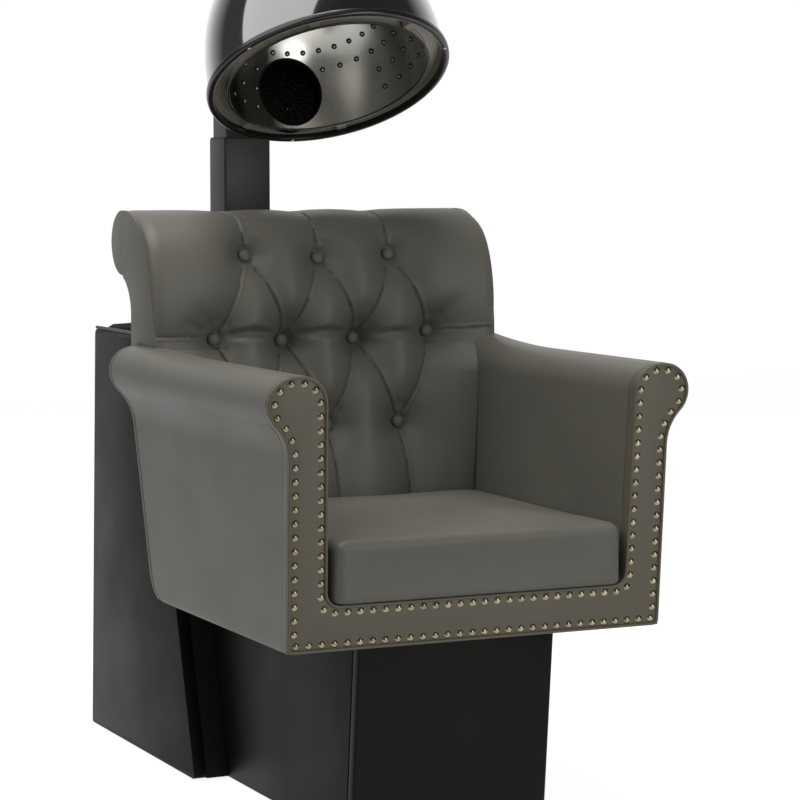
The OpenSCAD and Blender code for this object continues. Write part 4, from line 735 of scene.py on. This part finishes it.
def back_rows():
    """Depth, height, outward direction, tuft share and side seam of each row, bottom to roll."""
    rows = []
    upright = np.r_[np.linspace(SEAT_Z, ARM_Z - ARM_GAP, LOW_ROWS),
                    np.linspace(ARM_Z + ARM_GAP, ARM_Z + TURN * RISE, UPRIGHT_ROWS - LOW_ROWS)]
    for z in upright:
        seam = round_over(z, POWER) + SIDE_SEAM if z > ARM_Z else front_of_pad(z) + LOW_SEAM
        rows.append((front_of_pad(z), z, -1.0, 0.0, 1.0, (seam, z)))
    start = math.asin(TURN ** (PAD_POWER / 2))
    for t in np.linspace(start, math.pi / 2, CROWN_ROWS + 1)[1:]:
        c, s = max(math.cos(t), 1e-5), math.sin(t)
        n = np.array([-c ** (2 - 2 / PAD_POWER) / REACH, s ** (2 - 2 / PAD_POWER) / RISE])
        n /= np.hypot(*n)
        share = float(smooth(start, TURNED_BY, t))
        n = np.array([-1.0, 0.0]) * (1 - share) + n * share
        z = ARM_Z + RISE * s ** (2 / PAD_POWER)
        seam = (min(round_over(z - 1, POWER) + SIDE_SEAM, ROLL_Y + SEAM_END), z - SEAM_DROP * share)
        rows.append((ROLL_Y - REACH * c ** (2 / PAD_POWER), z, *(n / np.hypot(*n)), 1.0, seam))
    for a in np.radians(np.linspace(90, ROLL_FOOT_ANGLE, ROLL_ROWS + 1))[1:]:
        c, s = math.cos(a), math.sin(a)
        seam = (ROLL_Y + (ROLL_R - ROLL_SEAM) * c, BACK_TOP - ROLL_R + (ROLL_R - ROLL_SEAM) * s)
        rows.append((ROLL_Y + ROLL_R * c, BACK_TOP - ROLL_R + ROLL_R * s, c, s,
                     float(np.clip(a / (math.pi / 2), 0, 1)), seam))
    return rows


# %% [markdown]
# Every row becomes a closed ring: across the front, back to the side seam at both ends, and
# straight across behind. Low rows end between the arms, where the pad presses against them
# and swells forward, and high rows end over them with a rounded edge. The tufting is also
# calmer on the crown, where the vinyl is stretched.

# %% The padded back
CLEAR, EDGE_W, LOW_EDGE, HIGH_EDGE = 0.5, 22, 5.0, 11.6
SWELL, SWELL_FROM, SWELL_RUN, SWELL_FADE, SWELL_POWER = 40, 425, 245, 48, 8
CALM, CALM_FROM, CALM_TO = 0.6, 905, 965


def arm_inside(z):
    """Half the room between the arms: straight below, and following the scroll at the top."""
    h = z - SHELL_Z
    if h > SCROLL_H:
        return HEAD_X - math.sqrt(max(0.0, SCROLL_R ** 2 - (h - SCROLL_H) ** 2)) - CLEAR
    return GAP + FLARE * h / SCROLL_H - CLEAR


def make_back():
    rows = back_rows()
    behind, roll_foot, tuck = 33.6, BACK_TOP - 2 * ROLL_R, 0.4
    pad_half, cover_half, seam_half = BACK_HALF - CAP_T - 0.6, BACK_HALF - 0.4, BACK_HALF - 1.2
    half = np.r_[np.linspace(0, GAP, 120), np.linspace(GAP, cover_half, 34)[1:]]
    across = np.r_[-half[::-1][:-1], half]
    side_foot = SIDE_DEPTH + SIDE_RAKE * (SEAT_Z - SHELL_Z) / ARM_H
    rings = []
    flow, last_flat = SEAT_Z, 0
    for i, (y, z, ny, nz, share, seam) in enumerate(rows):
        low = i < LOW_ROWS
        flow = z if i < UPRIGHT_ROWS else flow + math.hypot(y - rows[i - 1][0], z - rows[i - 1][1])
        limit = arm_inside(z) if low else cover_half
        x = across * limit / cover_half if low else across
        edge = np.clip((np.abs(x) - (limit - EDGE_W)) / EDGE_W, 0, 0.9999)
        sink = share * tuft(x, np.full_like(x, flow)) * (smooth(SEAT_Z, SEAT_Z + 10, z) if low else 1.0)
        sink = sink * (1 - CALM * smooth(CALM_FROM, CALM_TO, flow))
        sink = sink + (1 - np.sqrt(1 - edge ** 2)) * (LOW_EDGE if low else HIGH_EDGE)
        if low:
            swell = SWELL * min(1.0, max(0.0, z - SWELL_FROM) / SWELL_RUN)
            swell *= math.sqrt(max(0.0, 1 - max(0.0, (z - ARM_Z + SWELL_FADE) / SWELL_FADE) ** 2))
            sink = sink - swell * (np.abs(x) / limit) ** SWELL_POWER
        if z < roll_foot and i < UPRIGHT_ROWS:
            ry = side_foot + (BACK_REAR - side_foot) * min(1, (z - SEAT_Z) / (ARM_Z - SEAT_Z)) - behind
            rz, last_flat = z, i
        else:
            past = (i - last_flat) / (len(rows) - 1 - last_flat)
            ry, rz = BACK_REAR - behind + (ROLL_Y - BACK_REAR + behind) * past, roll_foot
        rx, wide = (limit, limit) if low else (pad_half, seam_half)
        ring = [(-rx, my(ry), rz), (-rx, my(seam[0]), seam[1]), (-wide, my(seam[0] - tuck), seam[1])]
        ring += list(zip(x, my(y - ny * sink), z - nz * sink))
        ring += [(wide, my(seam[0] - tuck), seam[1]), (rx, my(seam[0]), seam[1]), (rx, my(ry), rz)]
        rings.append(ring)
    back = put_mesh("tufted_back", np.array(rings, float).reshape(-1, 3),
                    skin((len(rings), len(rings[0]))), "vinyl_taupe", sharp=58)
    stand_in(back, "back_pad")


make_back()


# %% [markdown]
# The buttons are moulded metal shells covered in the same vinyl, so their dome is smooth and
# its edge turns under. A turned profile is enough, leant to the surface that it sits in.

# %% Covered buttons
BUTTON_SUNK = 2.5


def make_buttons():
    profile = [(0.01, 7.0), (3.2, 6.7), (6.4, 5.7), (8.8, 4.0), (10.2, 2.0), (10.5, 0.8), (9.8, -0.4),
               (7.5, -1.2)]
    sides, points, faces = 28, [], []
    for bx, bz, sink in BUTTONS:
        lean = math.atan2(front_of_pad(bz + 1) - front_of_pad(bz - 1), 2.0)
        out = np.array([0.0, -math.cos(lean), math.sin(lean)])
        up = np.array([0.0, math.sin(lean), math.cos(lean)])
        seat = np.array([bx, front_of_pad(bz) + sink - BUTTON_SUNK + FOOT, bz])
        base = len(points)
        for r, h in profile:
            for k in range(sides):
                a = 2 * math.pi * k / sides
                points.append(seat + out * h + up * r * math.sin(a) + np.array([r * math.cos(a), 0, 0]))
        faces += [tuple(base + v for v in f) for f in skin((len(profile), sides))]
    piece = put_mesh("covered_buttons", points, faces, "vinyl_taupe", sharp=60)
    stand_in(piece, "back_buttons")


make_buttons()


# %% [markdown]
# ## Seat cushion
# A boxed cushion is four sewn sides between a top and a bottom panel. It is full in the
# middle, its sides draw in a little between the corners, and its upper edge is soft. Rings
# of one rounded outline, stacked and drawn in, give all three, and slow waves over the top
# stop it from looking moulded.

# %% Cushion
CUSHION_HALF_X, CUSHION_HALF_Y, CUSHION_FRONT, CUSHION_H, CROWN = 236.8, 244.8, -13.9, 92.0, 15.0
CORNER_R, CORNER_MORE, HEM_R, EDGE_R, EDGE_TURN, WAIST = 19.0, 60, 7, 15.0, 84, 3.0
WAVE, WAVE_X, WAVE_Y, RIPPLE, RIPPLE_W, FACE_WAVE, FACE_W = 0.8, 63, 88, 0.5, 39, 0.5, 47


def make_cushion():
    half_x, half_y, height = CUSHION_HALF_X, CUSHION_HALF_Y, CUSHION_H
    mid = my(CUSHION_FRONT + half_y)

    def ring(inset, z, draw, corner=CORNER_R):
        w, d = half_x - inset, half_y - inset
        r = max(1.5, corner * w / half_x)
        loop = []
        for k, (sx, sy) in enumerate(((1, 1), (-1, 1), (-1, -1), (1, -1))):
            loop += arc(sx * (w - r), sy * (d - r), r, k * math.pi / 2, (k + 1) * math.pi / 2, 14)
            ex, ey = [(-1, 0), (0, -1), (1, 0), (0, 1)][k]
            span = 2 * (w if ex else d) - 2 * r
            x0, y0 = loop[-1]
            loop += [(x0 + ex * span * t, y0 + ey * span * t) for t in np.linspace(0, 1, 42)[1:-1]]
        x, y = np.array(loop).T
        return np.stack([x - draw * x / w * (1 - (y / d) ** 2), y - draw * y / d * (1 - (x / w) ** 2),
                         np.full(len(x), z)], -1)

    rings = [ring(HEM_R * (1 - math.sin(a)), HEM_R * (1 - math.cos(a)), 0.0)
             for a in np.radians(np.linspace(0, 90, 6))]
    rings += [ring(0, HEM_R + (height - HEM_R - EDGE_R) * t, WAIST * math.sin(math.pi * t))
              for t in np.linspace(0, 1, 14)[1:-1]]
    rings += [ring(EDGE_R * (1 - math.cos(a)), height - EDGE_R + EDGE_R * math.sin(a), 0.0)
              for a in np.radians(np.linspace(0, EDGE_TURN, 10))]
    start = EDGE_R * (1 - math.cos(math.radians(EDGE_TURN)))
    for s in np.linspace(0, 1, 48)[1:]:
        rings.append(ring(start + (half_x - start - 2) * s, height - 0.1 + CROWN * (1 - (1 - s) ** 2.3),
                          0.0, CORNER_R + CORNER_MORE * s))
    p = np.array(rings)
    top = smooth(height - 5, height + 1, p[..., 2])
    x, y = p[..., 0], p[..., 1]
    p[..., 2] += top * (WAVE * np.sin(x / WAVE_X + 1) * np.cos(y / WAVE_Y)
                        + RIPPLE * np.sin((x + 0.7 * y) / RIPPLE_W))
    face = smooth(4, 30, p[..., 2]) * (1 - top)
    p[..., 1] += face * FACE_WAVE * np.sin(x / FACE_W + 0.6) * (y < -half_y + 4)
    p += [0, mid, SEAT_Z + 0.4]
    cushion = put_mesh("seat_cushion_cover", p.reshape(-1, 3), skin(p.shape[:2]), "vinyl_taupe", sharp=60)
    stand_in(cushion, "seat_cushion")


make_cushion()

# %% [markdown]
# ## Hood
# The dome is a black moulding with a rolled rim, and inside it a polished bowl with rows of
# air nozzles. All turn about one axis that tilts forward, so each is a turned profile placed
# in the hood's own frame, and the air duct is bored through them from behind.

# %% Hood frame and turning
TILT = math.radians(29.6)
HOOD_Y, HOOD_Z = 544.0, 1152.0
DUCT_H, DUCT_CUT = 62.0, 57.3
BOWL_R, BOWL_H, BOWL_T, BOWL_POWER = 164.0, 190.0, 2, 2.2
DOME_R, DOME_H, DOME_T, DOME_POWER = 196, 250, 3, 2.3
HOOD_CREASE, DRILL_MID, DRILL_LENGTH = 32, 160, 0.12


def in_hood(p):
    p = np.asarray(p, float)
    c, s = math.cos(TILT), math.sin(TILT)
    return np.stack([p[..., 0], my(HOOD_Y) + p[..., 1] * c + p[..., 2] * s,
                     HOOD_Z - p[..., 1] * s + p[..., 2] * c], -1)


def turned(name, profile, slot, steps=224):
    prof = np.asarray(profile, float)
    a = np.arange(steps) * 2 * np.pi / steps
    rings = np.stack([np.outer(np.cos(a), prof[:, 0]), np.outer(np.sin(a), prof[:, 0]),
                      np.broadcast_to(prof[:, 1], (steps, len(prof)))], -1)
    rings = np.concatenate([rings, rings[:1]])
    return put_mesh(name, in_hood(rings.reshape(-1, 3)), skin(rings.shape[:2], ends=False), slot,
                    "hood", sharp=HOOD_CREASE)


def shell(r, h, power, n):
    t = np.linspace(0, math.pi / 2, n)
    line = np.stack([r * np.cos(t) ** (2 / power), h * np.sin(t) ** (2 / power)], -1)
    line[-1] = (0, h)
    return line


print("hood tilted", round(math.degrees(TILT), 1), "degrees about", HOOD_Y + FOOT, HOOD_Z)


def bore_duct(piece):
    """Cuts the round air duct through a shell of the hood."""
    bpy.ops.mesh.primitive_cylinder_add(vertices=128, radius=DUCT_CUT / 1000, depth=DRILL_LENGTH)
    drill = bpy.context.active_object
    drill.rotation_mode = "QUATERNION"
    drill.rotation_quaternion = Vector((0, 0, 1)).rotation_difference(
        Vector((0, math.cos(TILT), -math.sin(TILT))))
    drill.location = Vector(in_hood((0, DRILL_MID, DUCT_H))) / 1000
    cut = piece.modifiers.new("duct", "BOOLEAN")
    cut.object, cut.operation, cut.solver = drill, "DIFFERENCE", "EXACT"
    bpy.context.view_layer.update()
    with bpy.context.temp_override(object=piece, active_object=piece):
        bpy.ops.object.modifier_apply(modifier=cut.name)
    bpy.data.objects.remove(drill)
    piece.data.set_sharp_from_angle(angle=math.radians(HOOD_CREASE))


# %% [markdown]
# Both shells are superellipses turned round: fuller than a sphere, with a small flat crown.
# Each is a closed profile a few millimetres thick, out and back, so the bored edge of the
# duct shows real thickness. The lip and the rolled rim are turned from their own outlines
# and hide the shells' edges.

# %% Dome, bowl and rim
dome = turned("dome_shell", np.vstack([shell(DOME_R, DOME_H, DOME_POWER, 80),
                                       shell(DOME_R - DOME_T, DOME_H - DOME_T, DOME_POWER, 80)[::-1]]),
              "hood_black")
bore_duct(dome)
stand_in(dome, "hood_dome")

bowl = turned("bowl_shell", np.vstack([shell(BOWL_R + BOWL_T, BOWL_H + BOWL_T, BOWL_POWER, 72),
                                       shell(BOWL_R, BOWL_H, BOWL_POWER, 72)[::-1]]), "bowl_grey")
bore_duct(bowl)
stand_in(bowl, "inner_bowl")
turned("bowl_lip", [(BOWL_R, -0.1), (BOWL_R, -2.0), (BOWL_R + 0.6, -2.5), (BOWL_R + 3.4, -2.5),
                    (BOWL_R + 4, -1.9), (BOWL_R + 4, -0.6), (BOWL_R + 2.2, -0.1)], "rim_black")

rim_line = (arc(197, -2, 4, -math.pi / 2, 0, 8) + arc(199, 3, 2, 0, math.pi / 2, 6)
            + [(196.3, 5), (196.3, -0.3), (192, -0.3), (192, 4), (190, 4), (190, -4), (190.4, -5.2),
               (192, -6)])
rim = turned("rim_ring", rim_line, "rim_black")
stand_in(rim, "hood_rim")


# %% [markdown]
# The nozzles are small dark eyelets round a bright domed core. They stand square to the
# bowl's inner face, in four rows of thirty, and leave out the places that the duct takes
# and six on its right, near the rim, where the bowl is bare.

# %% Air nozzles
NOZZLE_R, PER_ROW, ROW_TURN, PROUD = 4.7, 30, 0.45, 0.15
BARE_BELOW, BARE_FROM, BARE_TO = 70, math.radians(36), math.radians(90)


def bowl_radius(h):
    return BOWL_R * (1 - (h / BOWL_H) ** BOWL_POWER) ** (1 / BOWL_POWER)


def make_nozzles():
    shapes = {"ring": [(2.2, 0.0), (2.5, 1.1), (3.4, 1.6), (4.4, 1.2), (4.8, 0.0)],
              "core": [(2.3, 0.0), (2.1, 1.0), (1.2, 1.8), (0.01, 2.1)]}
    points, faces = {"ring": [], "core": []}, {"ring": [], "core": []}
    sides = 20
    for share in (0.174, 0.342, 0.508, 0.658):
        h = share * BOWL_H
        for i in range(PER_ROW):
            a = math.radians((i + ROW_TURN) * (360 / PER_ROW))
            r = bowl_radius(h)
            in_duct = math.sin(a) > 0 and math.hypot(r * math.cos(a), h - DUCT_H) < DUCT_CUT + NOZZLE_R
            bare = h < BARE_BELOW and BARE_FROM < a < BARE_TO
            if in_duct or bare:
                continue
            slope = (bowl_radius(h - 1) - bowl_radius(h + 1)) / 2.0
            out = np.array([-math.cos(a), -math.sin(a), -slope])
            out /= np.linalg.norm(out)
            u = np.array([-math.sin(a), math.cos(a), 0.0])
            v = np.cross(out, u)
            seat = np.array([r * math.cos(a), r * math.sin(a), h]) + out * PROUD
            for kind, prof in shapes.items():
                base = len(points[kind])
                for pr, ph in prof:
                    for k in range(sides):
                        t = 2 * math.pi * k / sides
                        points[kind].append(seat + u * pr * math.cos(t) + v * pr * math.sin(t) + out * ph)
                faces[kind] += [tuple(base + q for q in f) for f in skin((len(prof), sides))]
    rings = put_mesh("nozzle_rings", in_hood(np.array(points["ring"])), faces["ring"], "nozzle_dark", "hood")
    put_mesh("nozzle_cores", in_hood(np.array(points["core"])), faces["core"], "screw_steel", "hood")
    stand_in(rings, "air_nozzles")


make_nozzles()

# %% [markdown]
# ## Pieces kept from CAD
# Panels, mast, hinge and blower already have their real shape. A small bevel catches the
# light along folded edges, and smooth shading by angle hides the facets of round faces. A
# piece without a bevel is split at its sharp edges, because welding it drops their marks.
# All are modifiers or flags, so the CAD meshes stay as they are.

# %% Finish the CAD nodes
CREASE_ANGLE, BEVEL_ANGLE, WELD_CAD = math.radians(28), math.radians(40), 1e-5
# The grille and collar take the near-black duct finish, whose extra darkness is painted shade.
OWN_LOOK = {"front_facing": facing_leather, "intake_grille": duct_black_and_painted_shade, "intake_collar": duct_black_and_painted_shade}
BEVEL = {"cabinet_sides": 5.0, "cabinet_front_panel": 1.0, "cabinet_top_panel": 1.5,
         "cabinet_rear_panel": 3.0, "pedestal_sides": 1.0, "pedestal_front_panel": 5.0,
         "pedestal_cap": 1.0, "mast_post": 1.2, "mast_head": 1.5,
         "rear_housing": 1.5, "housing_cover": 1.5, "hinge_ears": 1.0, "front_facing": 1.5,
         "back_end_caps": 2.5, "back_outer": 2.0, "sleeve_guide": 0.6}
for name, node in cad_nodes.items():
    slot = SLOT_OF[name]
    node.data.materials.clear()
    node.data.materials.append(OWN_LOOK.get(name, FINISH[slot]))
    weld = node.modifiers.new("weld", "WELD")
    weld.merge_threshold = WELD_CAD
    node.data.shade_smooth()
    node.data.set_sharp_from_angle(angle=CREASE_ANGLE)
    if name in BEVEL:
        bevel = node.modifiers.new("bevel", "BEVEL")
        bevel.width = BEVEL[name] / 1000
        bevel.segments = 3
        bevel.limit_method = "ANGLE"
        bevel.angle_limit = BEVEL_ANGLE
        bevel.harden_normals = True
    else:
        crisp = node.modifiers.new("crisp", "EDGE_SPLIT")
        crisp.split_angle = CREASE_ANGLE
        crisp.use_edge_sharp = False
print("CAD nodes finished:", len(cad_nodes))

# %% [markdown]
# ## Finish
# The view transform is set to Standard. The visual model has to stay in the CAD model's
# box.

# %% The last line: view transform
scene.view_settings.view_transform = "Standard"
